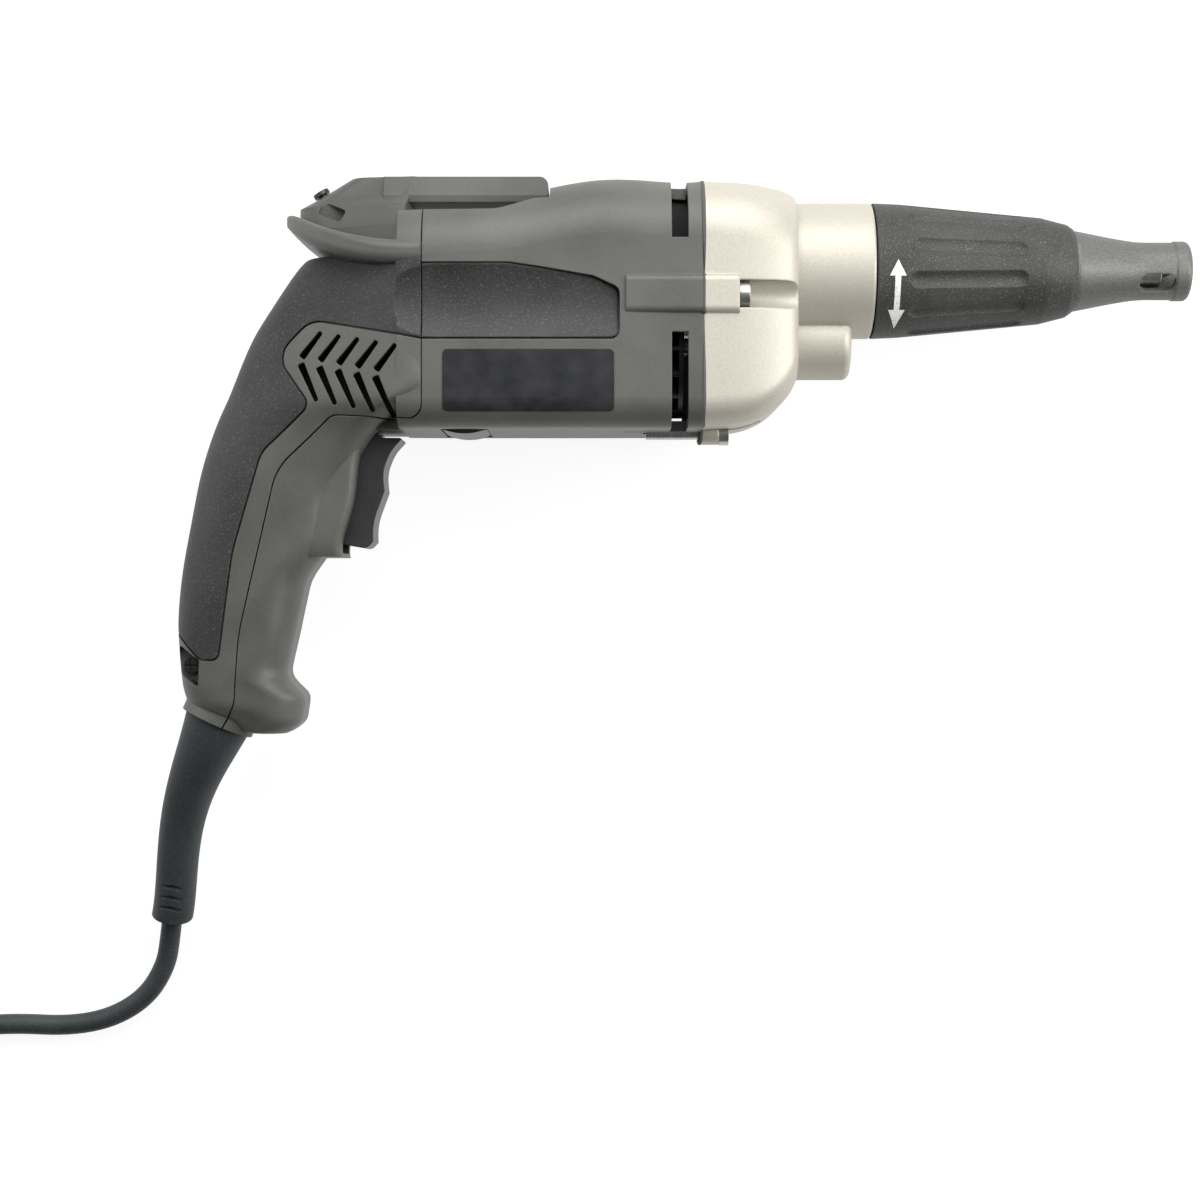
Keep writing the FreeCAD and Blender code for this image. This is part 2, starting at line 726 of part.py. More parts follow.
def trigger_block():
    """Flanks of the trigger's room, which widen into the barrel above them."""
    back = -BLOCK_BACK_SHARE * HANDLE_REACH
    bridge = block((back, -COVER_SEAM), (-BODY_BOTTOM, -BODY_BOTTOM + 2 * SHELL_WALL),
                   (-BLOCK_HALF_WIDTH, BLOCK_HALF_WIDTH))
    wires = []
    for down, front, width in BLOCK_SHARES:
        half = width * BLOCK_HALF_WIDTH
        wires.append(egg(-down * FOOT_DROP, back, half, -front * HANDLE_REACH, BLOCK_EDGE, half))
    return Part.makeLoft(wires, True, False).fuse(bridge)


def collar(radius, start, end):
    """Round bar along the cord's way out, measured back from the exit."""
    return Part.makeCylinder(radius, start - end, EXIT - EXIT_AIM * start, EXIT_AIM)


def scoop(inset):
    """Long shallow hollow along each side, for the fingers and the soft pads."""
    half_chord = (SCOOP_BOTTOM - SCOOP_TOP) / 2
    radius = (half_chord * half_chord + SCOOP_DEPTH * SCOOP_DEPTH) / (2 * SCOOP_DEPTH)
    middle = -(SCOOP_TOP + SCOOP_BOTTOM) / 2
    round_cut = rod(radius + inset, -SPAN, 0, middle, BODY_HALF_WIDTH - SCOOP_DEPTH + radius)
    return both_sides(round_cut.common(prism(scoop_outline(), 0, SPAN)))


def scoop_outline():
    height = SCOOP_BOTTOM - SCOOP_TOP
    length = COVER_SEAM - SCOOP_FRONT
    corners = [(-HANDLE_REACH, -SCOOP_TOP, 0.0)]
    for along, down in SCOOP_NOSE_SHARES:
        corners.append((-SCOOP_FRONT - along * length, -SCOOP_TOP - down * height, SCOOP_CORNER))
    corners.append((-SCOOP_FRONT, -SCOOP_TOP - height / 3, SCOOP_CORNER))
    corners.append((-SCOOP_FRONT, -SCOOP_BOTTOM, SCOOP_CORNER))
    corners.append((-HANDLE_REACH, -SCOOP_BOTTOM, 0.0))
    return corners


def belt_recess(inset):
    """Flat saddle in the barrel's crown that leaves room for a belt under the hook."""
    notch = HOOK_UNDER - BELT_END_GAP
    corners = (
        (-HANDLE_REACH, SPAN, 0.0),
        (-HANDLE_REACH, BELT_FLOOR - inset, 0.0),
        (-HOOK_TIP - BELT_NOTCH - BELT_RAMP, BELT_FLOOR - inset, BELT_RAMP),
        (-HOOK_TIP - BELT_NOTCH + inset, notch - inset, BELT_NOTCH / 2),
        (-HOOK_TIP + BELT_END_GAP + inset, notch - inset, 0.0),
        (-HOOK_TIP + BELT_END_GAP + inset, SPAN, 0.0),
    )
    return prism(corners, -SPAN, SPAN).common(slab(-BODY_LENGTH + inset - OVERRUN / 2, 0))


def outer_form(inset):
    solids = [body_form(inset), handle_form(inset), tail_form(), trigger_block()]
    solids.append(collar(COLLAR_RADIUS, COLLAR_DEPTH, 0))
    return fused(solids).cut(scoop(inset))


def parting(gap):
    """Everything behind the seam between the barrel and the handle cover."""
    corners = [(-COVER_SEAM + gap, SPAN, 0.0)]
    down, radius = PARTING_CORNER_SHARES
    corners.append((-COVER_SEAM + gap, -down * FOOT_DROP - gap, radius * HANDLE_HALF_WIDTH))
    for along, down, radius in PARTING_SHARES:
        corner = (-along * HANDLE_REACH + gap, -down * FOOT_DROP - gap, radius * HANDLE_HALF_WIDTH)
        corners.append(corner)
    corners.append((corners[-1][0] - OVERRUN, -SPAN, 0.0))
    corners.append((-SPAN, -SPAN, 0.0))
    corners.append((-SPAN, SPAN, 0.0))
    return prism(corners, -SPAN, SPAN)


def rear_grip_outline():
    corners = [(-COVER_SEAM + OVERRUN, SPAN, 0.0)]
    corners.append((-COVER_SEAM + OVERRUN, -SCOOP_BOTTOM, 0.0))
    corners.append((-COVER_SEAM, -SCOOP_BOTTOM, 0.0))
    for along, down, radius in GRIP_EDGE_SHARES:
        corners.append((-along * HANDLE_REACH, -down * FOOT_DROP, radius * HANDLE_HALF_WIDTH))
    corners.append((-SPAN, corners[-1][1], 0.0))
    corners.append((-SPAN, SPAN, 0.0))
    return corners


def shrunk(corners, gap):
    """Outline drawn in by a gap and taken through from side to side."""
    face = Part.Face(corner_wire(corners, lambda a, b: Vector(a, b, -SPAN)))
    return face.makeOffset2D(-gap).extrude(Vector(0, 0, 2 * SPAN))


def louvres():
    """Slanted air slots in the sides of the cover, in pairs that meet at a point."""
    cuts = []
    tip, bend, heel = [Vector(-a * HANDLE_REACH, -d * FOOT_DROP, 0) for a, d in LOUVRE_SHARES]
    step = Vector(LOUVRE_STEP_SHARES[0] * HANDLE_REACH, -LOUVRE_STEP_SHARES[1] * FOOT_DROP, 0)
    for end in (tip, heel):
        along = (bend - end).normalize()
        across = Vector(-along.y, along.x, 0) * (LOUVRE_WIDTH / 2)
        near = bend - along * LOUVRE_BRIDGE
        tip_across = across * LOUVRE_END_SHARE
        points = (end + tip_across, near + across, near - across, end - tip_across)
        for index in range(LOUVRE_COUNT):
            shift = step * index
            radius = LOUVRE_WIDTH / 4
            corners = [(point.x + shift.x, point.y + shift.y, radius) for point in points]
            cuts.append(prism(corners, -SPAN, SPAN))
    return fused(cuts)


def screw_boss(start, end, inset=0.0):
    """Blocks that hold the gear case screws: two at the sides, one below."""
    half = SCREW_BOSS_HALF + inset
    floor = SIDE_REST - 2 * SCREW_INSET
    side_corners = (
        (-SCREW_DROP - half, floor - inset, 0.0),
        (-SCREW_DROP + half, floor - inset, 0.0),
        (-SCREW_DROP + half, SIDE_REST + inset, half / 3),
        (-SCREW_DROP - half, SIDE_REST + inset, half / 3),
    )
    side = both_sides(bar(side_corners, start, end))
    low_end = min(end, LOW_BOSS_FRONT)
    low_corners = (
        (-LOW_SCREW_DROP + LOW_BOSS_DEPTH - SEAT_CLEARANCE + inset, -half, 0.0),
        (-LOW_SCREW_DROP + LOW_BOSS_DEPTH - SEAT_CLEARANCE + inset, half, 0.0),
        (-LOW_SCREW_DROP - LOW_BOSS_DEPTH - inset, half, half / 2),
        (-LOW_SCREW_DROP - LOW_BOSS_DEPTH - inset, -half, half / 2),
    )
    return side.fuse(bar(low_corners, start, low_end))


def screw_places():
    inset = SIDE_REST - SCREW_INSET
    return (
        (SCREW_BOSS_FRONT, -SCREW_DROP, inset),
        (SCREW_BOSS_FRONT, -SCREW_DROP, -inset),
        (LOW_BOSS_FRONT, -LOW_SCREW_DROP, 0.0),
    )


def screw_holes(clearance):
    holes = [rod(SCREW_RADIUS + clearance, -SCREW_GRIP - SCREW_RUNOUT, x + OVERRUN, y, z)
             for x, y, z in screw_places()]
    return fused(holes)


# Housing pieces

def field_outline(clearance):
    high = FIELD_HALF_HEIGHT + clearance
    wide = FIELD_HALF_WIDTH + clearance
    return [(-MOTOR_DROP + a * high, b * wide, FIELD_CORNER) for a, b in ((-1, -1), (-1, 1), (1, 1), (1, -1))]


def motor_web(wall):
    """Wall at the barrel's rear end that holds the rear bearing and lets the cooling air through."""
    seam = -COVER_SEAM + PARTING_GAP
    web = wall.common(slab(seam, seam + WEB_THICKNESS))
    web = web.fuse(rod(BEARING_RADIUS + SHELL_WALL, seam, REAR_BEARING_FRONT, -MOTOR_DROP))
    reach, size = WEB_HOLE_SHARES
    hole = rod(FIELD_HALF_HEIGHT * size, seam - OVERRUN, seam + OVERRUN,
               -MOTOR_DROP + FIELD_HALF_HEIGHT * (reach + size / 2))
    web = web.cut(fused(around(hole, 8, MOTOR_DROP)))
    web = web.cut(rod(BEARING_RADIUS + SEAT_CLEARANCE, REAR_BEARING_REAR, COMMUTATOR_REAR, -MOTOR_DROP))
    return web.cut(rod(SHAFT_RADIUS + MOVING_CLEARANCE, seam - OVERRUN, seam + OVERRUN, -MOTOR_DROP))


def field_frames(wall):
    outline = field_outline(SEAT_CLEARANCE)
    frames = wall.common(slab(STACK_FRONT - FRAME_DEPTH, STACK_FRONT))
    frames = frames.fuse(wall.common(slab(STACK_REAR, STACK_REAR + FRAME_DEPTH)))
    return frames.cut(bar(outline, STACK_REAR - OVERRUN, STACK_FRONT + OVERRUN))


def front_vents():
    span = (-VENT_FRONT - VENT_WIDTH, -VENT_FRONT)
    high = block(span, (VENT_TOP_END, SPAN), (VENT_RIB, SPAN))
    low = block(span, (-SPAN, -VENT_LOW_END), (SCREW_BOSS_HALF + VENT_RIB / 2, SPAN))
    return both_sides(high.fuse(low))


def pocket_outline():
    """Room for the trigger between the two flanks of the handle."""
    top = -POCKET_TOP
    low = -POCKET_BOTTOM
    depth = SWITCH_SETBACK * 2
    lean = math.tan(math.radians(TRIGGER_LEAN))
    return (
        (-FLANK_TOP - depth, top, 0.0),
        (OVERRUN, top, 0.0),
        (OVERRUN, low, 0.0),
        (-FLANK_TOP - lean * (POCKET_BOTTOM - POCKET_TOP) - depth, low, 0.0),
    )


def switch_place(depth, drop, side=0.0):
    """Point measured back from the trigger flank and down along the handle."""
    return Vector(-FLANK_TOP, -POCKET_TOP, side) + PULL * depth + DOWN * drop


def switch_box(grow, start, end, low, high):
    corners = []
    for depth, drop in ((start, low), (end, low), (end, high), (start, high)):
        point = switch_place(depth, drop)
        corners.append((point.x, point.y, SWITCH_EDGE))
    return prism(corners, -SWITCH_HALF_WIDTH - grow, SWITCH_HALF_WIDTH + grow)


def switch_ribs(wall):
    """Ribs inside the barrel's handle half that grip the switch from both sides."""
    start = SWITCH_SETBACK + RIB_THICKNESS / 2
    ribs = switch_box(SPAN, start, start + RIB_WIDTH, *(share * SWITCH_HEIGHT for share in RIB_SHARES))
    core = switch_box(SEAT_CLEARANCE, 0, SPAN, 0, SPAN)
    return ribs.common(wall).cut(core)


def button_place():
    return switch_place(SWITCH_SETBACK / 2, SWITCH_HEIGHT * BUTTON_SHARE)


def bar_seat():
    """Shallow recess below the barrel, with a slot for the selector's stem."""
    half = BAR_LENGTH / 2 + MOVING_CLEARANCE
    span = (-BAR_CENTRE - half, -BAR_CENTRE + half)
    roof = -BODY_BOTTOM - BAR_PROUD + BAR_THICKNESS + MOVING_CLEARANCE
    reach = BAR_HALF_SPAN + BAR_THROW + MOVING_CLEARANCE
    seat = block(span, (-SPAN, roof), (-reach, reach))
    stem = BAR_STEM + MOVING_CLEARANCE
    slot = block((-BAR_CENTRE - stem, -BAR_CENTRE + stem), (-SPAN, roof + 2 * BAR_FLOOR),
                 (-BAR_THROW - stem, BAR_THROW + stem))
    pad = block((span[0] - BAR_FLOOR, span[1] + BAR_FLOOR), (-BODY_BOTTOM + SHELL_WALL / 2, roof + BAR_FLOOR),
                (-reach - BAR_FLOOR, reach + BAR_FLOOR))
    return pad, seat.fuse(slot.common(block(span, (-SPAN, roof + 2 * BAR_FLOOR), (-reach, reach))))


def clamp_place(depth, side=0.0):
    """Point on the cord inside the handle, moved towards the cover by depth."""
    across = Vector(EXIT_AIM.y, -EXIT_AIM.x, 0)
    return EXIT - EXIT_AIM * (COLLAR_DEPTH + CLAMP_WIDTH) + across * depth + Z_AXIS * side


def clamp_posts(wall):
    """Two posts and a saddle on the handle's front wall, under the cord clamp."""
    posts = []
    across = clamp_place(1) - clamp_place(0)
    for side in (-CLAMP_LENGTH / 2 + CLAMP_SCREW_HEAD, CLAMP_LENGTH / 2 - CLAMP_SCREW_HEAD):
        start = clamp_place(CORD_RADIUS, side)
        posts.append(Part.makeCylinder(CLAMP_SCREW_HEAD, SPAN, start, across * -1).common(wall))
    return fused(posts)


def clamp_screw_holes(radius):
    across = clamp_place(1) - clamp_place(0)
    holes = []
    for side in (-CLAMP_LENGTH / 2 + CLAMP_SCREW_HEAD, CLAMP_LENGTH / 2 - CLAMP_SCREW_HEAD):
        start = clamp_place(CORD_RADIUS - 2 * CLAMP_THICKNESS, side)
        holes.append(Part.makeCylinder(radius, 4 * CLAMP_THICKNESS, start, across))
    return fused(holes)


def make_housing():
    """The barrel with the handle's front half, the cover behind it, and their soft grips."""
    outer = outer_form(0.0)
    passage = block((-BODY_LENGTH - OVERRUN, -BODY_LENGTH + OVERRUN),
                    (-BODY_BOTTOM + OVERRUN, 0), (-FIELD_HALF_HEIGHT, FIELD_HALF_HEIGHT))
    cavity = fused([body_form(SHELL_WALL), handle_form(SHELL_WALL), passage])
    cavity = cavity.cut([scoop(SHELL_WALL), belt_recess(SHELL_WALL)])
    shell = outer.cut([cavity, belt_recess(0), exit_cuts()])
    behind = parting(0)
    pad_region = prism(scoop_outline(), -SPAN, SPAN).common(slab(-COVER_SEAM + PARTING_GAP, 0))
    soft = outer.cut(outer_form(GRIP_SKIN))
    pad_bed = soft.common(pad_region)
    pads = pad_bed.common(shrunk(scoop_outline(), GRIP_GROOVE))
    grip_bed = soft.common(behind.common(prism(rear_grip_outline(), -SPAN, SPAN)))
    crown = block((-BODY_LENGTH - OVERRUN, SPAN), (0, SPAN), (-SPAN, SPAN))
    grip_bed = grip_bed.cut([tail_form(), belt_recess(0), crown])
    grip = grip_bed.common(shrunk(rear_grip_outline(), GRIP_GROOVE))

    barrel = shell.cut([parting(PARTING_GAP), pad_bed])
    wall = barrel_core((SHELL_WALL + GRIP_SKIN) / 2)
    tongue = SHELL_WALL + SEAT_CLEARANCE
    lip = barrel_core(tongue).cut(barrel_core(tongue + LIP_WALL))
    lip = lip.common(slab(-COVER_SEAM - LIP_REACH, -COVER_SEAM + PARTING_GAP + WEB_THICKNESS / 2))
    handle_wall = handle_form(SHELL_WALL / 2).cut(parting(PARTING_GAP))
    pad, seat = bar_seat()
    clamp_wall = handle_form(SHELL_WALL / 2)
    barrel = barrel.fuse([
        motor_web(wall), field_frames(wall), lip, screw_boss(-SCREW_BOSS_BACK, 0),
        switch_ribs(handle_wall), pad.common(wall), clamp_posts(clamp_wall),
    ])
    pocket_half = TRIGGER_HALF_WIDTH + MOVING_CLEARANCE
    hole = Part.makeCylinder(BUTTON_RADIUS + RUNNING_CLEARANCE, SPAN, button_place(), Z_AXIS * -1)
    barrel = barrel.cut([
        seat, front_vents(), screw_holes(SEAT_CLEARANCE), hole,
        prism(pocket_outline(), -pocket_half, pocket_half),
        clamp_screw_holes(CLAMP_SCREW_RADIUS + SEAT_CLEARANCE),
    ])

    corners = [(-a * HANDLE_REACH, -d * FOOT_DROP, LOUVRE_WIDTH / 3) for a, d in COVER_WINDOW_SHARES]
    window = both_sides(prism(corners, WINDOW_FLOOR, SPAN))
    web = prism(corners, -WINDOW_FLOOR, WINDOW_FLOOR).common(handle_form(SHELL_WALL / 2)).cut(exit_cuts())
    spot = cover_screw_place()
    bore = Part.makeCylinder(COVER_SCREW_RADIUS + SEAT_CLEARANCE, 2 * SPAN, spot - Z_AXIS * SPAN, Z_AXIS)
    cover = shell.common(behind).cut([grip_bed, louvres(), window]).fuse(web).cut(bore)
    return {"motor_housing": barrel, "handle_cover": cover, "rear_grip": grip, "side_grips": pads}


def barrel_core(inset):
    """Inside of the barrel, clear of the side hollows and the belt saddle."""
    return body_form(inset).cut([belt_recess(inset), scoop(inset)])


def cover_screw_place():
    along = sum(a for a, d in COVER_WINDOW_SHARES) / len(COVER_WINDOW_SHARES)
    down = sum(d for a, d in COVER_WINDOW_SHARES) / len(COVER_WINDOW_SHARES)
    return Vector(-along * HANDLE_REACH, -down * FOOT_DROP, 0)


def make_cover_screw():
    spot = cover_screw_place()
    seat = WINDOW_FLOOR + RUNNING_CLEARANCE
    shank = Part.makeCylinder(COVER_SCREW_RADIUS, 2 * seat, spot - Z_AXIS * seat, Z_AXIS)
    head = Part.makeCylinder(COVER_SCREW_HEAD, COVER_SCREW_RADIUS, spot + Z_AXIS * seat, Z_AXIS)
    slot = block((spot.x - SPAN, spot.x + SPAN), (spot.y - BAR_SLIT / 2, spot.y + BAR_SLIT / 2),
                 (seat + COVER_SCREW_RADIUS / 2, SPAN))
    return shank.fuse(head).cut([slot])


def make_air_guide():
    """Plate between the two rows of louvres that keeps the wires off the cooling air."""
    corners = [(-a * HANDLE_REACH, -d * FOOT_DROP, 0.0) for a, d in GUIDE_SHARES]
    plate = prism(corners, -GUIDE_THICKNESS / 2, GUIDE_THICKNESS / 2)
    return plate.common(handle_form(SHELL_WALL + RUNNING_CLEARANCE))


def exit_cuts():
    """Stepped bore that holds the strain relief."""
    lip = collar(COLLAR_BORE, COLLAR_DEPTH, -OVERRUN)
    return lip.fuse(collar(RELIEF_FLANGE + SEAT_CLEARANCE, COLLAR_DEPTH + OVERRUN, COLLAR_LIP))


# Gear case and its screws

def case_form(inset):
    wires = []
    for along, top, bottom, width, edge in GEAR_CASE_SHARES:
        x = along * GEAR_CASE_LENGTH
        if inset:
            x = along * (GEAR_CASE_LENGTH - GEAR_WALL - RUNNING_CLEARANCE)
        if inset and along == 0:
            x = -OVERRUN
        wires.append(round_rectangle(
            x,
            -bottom * BODY_BOTTOM + inset,
            top * BODY_TOP - inset,
            width * BODY_HALF_WIDTH - inset,
            edge * BODY_LOW_RADIUS - inset,
            edge * BODY_TOP_RADIUS - inset,
        ))
    return Part.makeLoft(wires, True, False)


def screw_channels(grow):
    """Grooves in the gear case, ahead of the screw heads."""
    half = SCREW_HEAD_RADIUS + MOVING_CLEARANCE + grow
    middle = SIDE_REST - SCREW_INSET
    side = block((SCREW_BOSS_FRONT, NECK_END), (-SCREW_DROP - half, -SCREW_DROP + half), (middle, SPAN))
    side = side.fuse(rod(half, SCREW_BOSS_FRONT, NECK_END, -SCREW_DROP, middle))
    low = block((LOW_BOSS_FRONT, NECK_END), (-SPAN, -LOW_SCREW_DROP + half), (-half, half))
    return fused([side, mirrored(side), low])


def make_gear_case():
    solid = case_form(0)
    neck = turned((
        (GEAR_CASE_LENGTH - GEAR_WALL, 0.0, 0.0),
        (GEAR_CASE_LENGTH - GEAR_WALL, NECK_RADIUS, 0.0),
        (NECK_END, NECK_RADIUS, NECK_EDGE),
        (NECK_END, NOZZLE_RADIUS, 0.0),
        (NOZZLE_END, NOZZLE_RADIUS, NECK_EDGE),
        (NOZZLE_END, 0.0, 0.0),
    ))
    boss = turned((
        (GEAR_CASE_LENGTH - GEAR_WALL, 0.0, 0.0),
        (GEAR_CASE_LENGTH - GEAR_WALL, BOSS_RADIUS, 0.0),
        (BOSS_END, BOSS_RADIUS, BOSS_EDGE),
        (BOSS_END, 0.0, 0.0),
    ), MOTOR_DROP)
    bosses = screw_boss(0, SCREW_BOSS_FRONT)
    lined = fused([bosses, screw_channels(GEAR_WALL - MOVING_CLEARANCE)])
    room = case_form(GEAR_WALL).common(slab(-OVERRUN, PLATE_FRONT + RUNNING_CLEARANCE))
    room = room.fuse(case_form(GEAR_WALL + GEAR_SHOULDER)).cut(lined)
    body = fused([solid, neck, boss, bosses])
    groove_inner = NOZZLE_RADIUS - RING_DEPTH - SEAT_CLEARANCE
    key = block((RING_FRONT, NOZZLE_END + OVERRUN),
                (NOZZLE_RADIUS - KEY_DEPTH, SPAN),
                (-KEY_WIDTH / 2 - RUNNING_CLEARANCE * 2, KEY_WIDTH / 2 + RUNNING_CLEARANCE * 2))
    return body.cut([
        room,
        screw_channels(0),
        screw_holes(SEAT_CLEARANCE),
        rod(CHAMBER_RADIUS, GEAR_FRONT, BUSH_REAR - SEAT_CLEARANCE / 2),
        rod(BUSH_RADIUS + SEAT_CLEARANCE / 2, GEAR_FRONT, BUSH_FRONT + SEAT_CLEARANCE),
        rod(SPINDLE_RADIUS + MOVING_CLEARANCE, GEAR_FRONT, NOZZLE_END + OVERRUN),
        rod(SEAL_RADIUS + SEAT_CLEARANCE / 2, NOZZLE_END - SEAL_LENGTH - SEAT_CLEARANCE,
            NOZZLE_END + OVERRUN),
        rod(PINION_BUSH_RADIUS + SEAT_CLEARANCE / 2, GEAR_FRONT, pinion_bush_span()[1] + SEAT_CLEARANCE,
            -MOTOR_DROP),
        rod(SHAFT_RADIUS, GEAR_FRONT, pinion_bush_span()[1] + AIR_GAP, -MOTOR_DROP),
        ring(NOZZLE_RADIUS + OVERRUN / 2, groove_inner, RING_REAR - SEAT_CLEARANCE,
             RING_FRONT + SEAT_CLEARANCE),
        *around(key, 2),
    ])


def pinion_bush_span():
    start = GEAR_CASE_LENGTH - GEAR_WALL
    return start, start + PINION_BUSH_LENGTH


def make_bearing_plate():
    plate = case_form(GEAR_WALL + SEAT_CLEARANCE).common(slab(SEAT_CLEARANCE, PLATE_FRONT))
    plate = plate.cut(fused([screw_boss(-OVERRUN, OVERRUN, SEAT_CLEARANCE),
                             screw_channels(GEAR_WALL)]))
    hub = rod(BEARING_RADIUS + HUB_WALL, FRONT_BEARING_REAR - PLATE_LIP, PLATE_FRONT, -MOTOR_DROP)
    plate = plate.fuse(hub)
    return plate.cut([
        rod(BEARING_RADIUS + SEAT_CLEARANCE / 2, -OVERRUN, FRONT_BEARING_FRONT, -MOTOR_DROP),
        rod(SHAFT_RADIUS * 2, -OVERRUN, PLATE_FRONT + OVERRUN, -MOTOR_DROP),
        rod(JOURNAL_RADIUS + BUSH_WALL + SEAT_CLEARANCE / 2, -OVERRUN, PLATE_FRONT + OVERRUN),
    ])


def make_screws():
    screws = []
    for x, y, z in screw_places():
        screw = rod(SCREW_RADIUS, -SCREW_GRIP, x + SCREW_HEAD / 2, y, z)
        head = rod(SCREW_HEAD_RADIUS, x + SEAT_CLEARANCE, x + SCREW_HEAD, y, z)
        socket = hex_bar(SCREW_SOCKET * 2, x + SCREW_HEAD / 2, x + SCREW_HEAD + OVERRUN)
        socket.translate(Vector(0, y, z))
        screws.append(screw.fuse(head).cut(socket))
    return Part.makeCompound(screws)


# Motor

def make_bearing(start):
    bore = SHAFT_RADIUS + RUNNING_CLEARANCE / 2
    race = ring(BEARING_RADIUS, bore, start, start + BEARING_WIDTH, -MOTOR_DROP)
    low = SHAFT_RADIUS + HOLDER_WALL
    high = BEARING_RADIUS - HOLDER_WALL
    shields = []
    for x in (start - BEARING_SHIELD, start + BEARING_WIDTH - BEARING_SHIELD):
        shields.append(ring(high, low, x, x + 2 * BEARING_SHIELD, -MOTOR_DROP))
    return race.cut(shields)


def make_fan():
    front = -FAN_SETBACK
    inner = BAFFLE_BORE / 2
    blade = block((FAN_REAR, front - FAN_DISC / 2), (-MOTOR_DROP + inner, -MOTOR_DROP + FAN_RADIUS),
                  (-FAN_BLADE / 2, FAN_BLADE / 2))
    blades = around(blade, FAN_BLADES, MOTOR_DROP)
    disc = rod(FAN_RADIUS, front - FAN_DISC, front, -MOTOR_DROP)
    hub = rod(HUB_RADIUS, FAN_REAR, front, -MOTOR_DROP)
    shroud = rod(FAN_RADIUS, FAN_REAR, front, -MOTOR_DROP)
    fan = fused([disc, hub] + blades).common(shroud)
    bore = SHAFT_RADIUS + RUNNING_CLEARANCE / 2
    return fan.cut(rod(bore, FAN_REAR - OVERRUN, front + OVERRUN, -MOTOR_DROP))


def make_baffle():
    rear = FAN_REAR - AIR_GAP - BAFFLE_THICKNESS
    inset = SHELL_WALL + SEAT_CLEARANCE
    plate = body_form(inset).common(slab(rear, rear + BAFFLE_THICKNESS))
    return plate.cut([
        screw_boss(-SCREW_BOSS_BACK, 0, SEAT_CLEARANCE),
        rod(BAFFLE_BORE, rear - OVERRUN, rear + OVERRUN, -MOTOR_DROP),
    ])


def coil_sector(clearance, start, end):
    """Two bent bands about the armature, above and below it."""
    band = ring(COIL_RING + clearance, COIL_INNER - clearance, start, end, -MOTOR_DROP)
    turn = math.radians(90 - COIL_SPREAD)
    reach = 2 * COIL_RING
    side = Vector(0, reach * math.sin(turn), reach * math.cos(turn))
    apex = clearance / math.sin(turn)
    low = -MOTOR_DROP
    corners = ((low, apex, 0.0), (low + side.y, side.z + apex, 0.0), (low - side.y, side.z + apex, 0.0))
    gap = bar((corners[0], corners[2], corners[1]), start - OVERRUN, end + OVERRUN)
    return band.cut(both_sides(gap))


def make_field():
    span = (STACK_REAR - END_TURN + AIR_GAP / 2, STACK_FRONT + END_TURN - AIR_GAP / 2)
    pole = block((STACK_REAR, STACK_FRONT), (-SPAN, SPAN), (-POLE_HALF_WIDTH, POLE_HALF_WIDTH))
    grown = SEAT_CLEARANCE
    pole_gap = block((STACK_REAR - grown, STACK_FRONT + grown), (-SPAN, SPAN),
                     (-POLE_HALF_WIDTH - grown, POLE_HALF_WIDTH + grown))
    coils = coil_sector(0, *span).cut(pole_gap)
    stack = bar(field_outline(0), STACK_REAR, STACK_FRONT)
    stack = stack.cut([
        rod(FIELD_BORE, STACK_REAR - OVERRUN, STACK_FRONT + OVERRUN, -MOTOR_DROP),
        coil_sector(grown, STACK_REAR - OVERRUN, STACK_FRONT + OVERRUN).cut(pole),
    ])
    return stack, coils


def tooth_ring(teeth, addendum_share, start, end, drop):
    """Spur gear with straight-flanked teeth."""
    pitch = teeth * GEAR_MODULE / 2
    root = pitch - DEDENDUM_SHARE * GEAR_MODULE
    corners = []
    for level, width in TOOTH_WIDTH_SHARES:
        height = level * GEAR_MODULE * (addendum_share if level > 0 else DEDENDUM_SHARE)
        corners.append((pitch + height, width * math.pi * GEAR_MODULE / 2))
    corners[0] = (root - GEAR_MODULE / 2, corners[0][1])
    outline = [(-drop + r, half, 0.0) for r, half in corners]
    outline += [(-drop + r, -half, 0.0) for r, half in reversed(corners)]
    tooth = bar(outline, start, end)
    return fused([rod(root, start, end, -drop)] + around(tooth, teeth, drop))


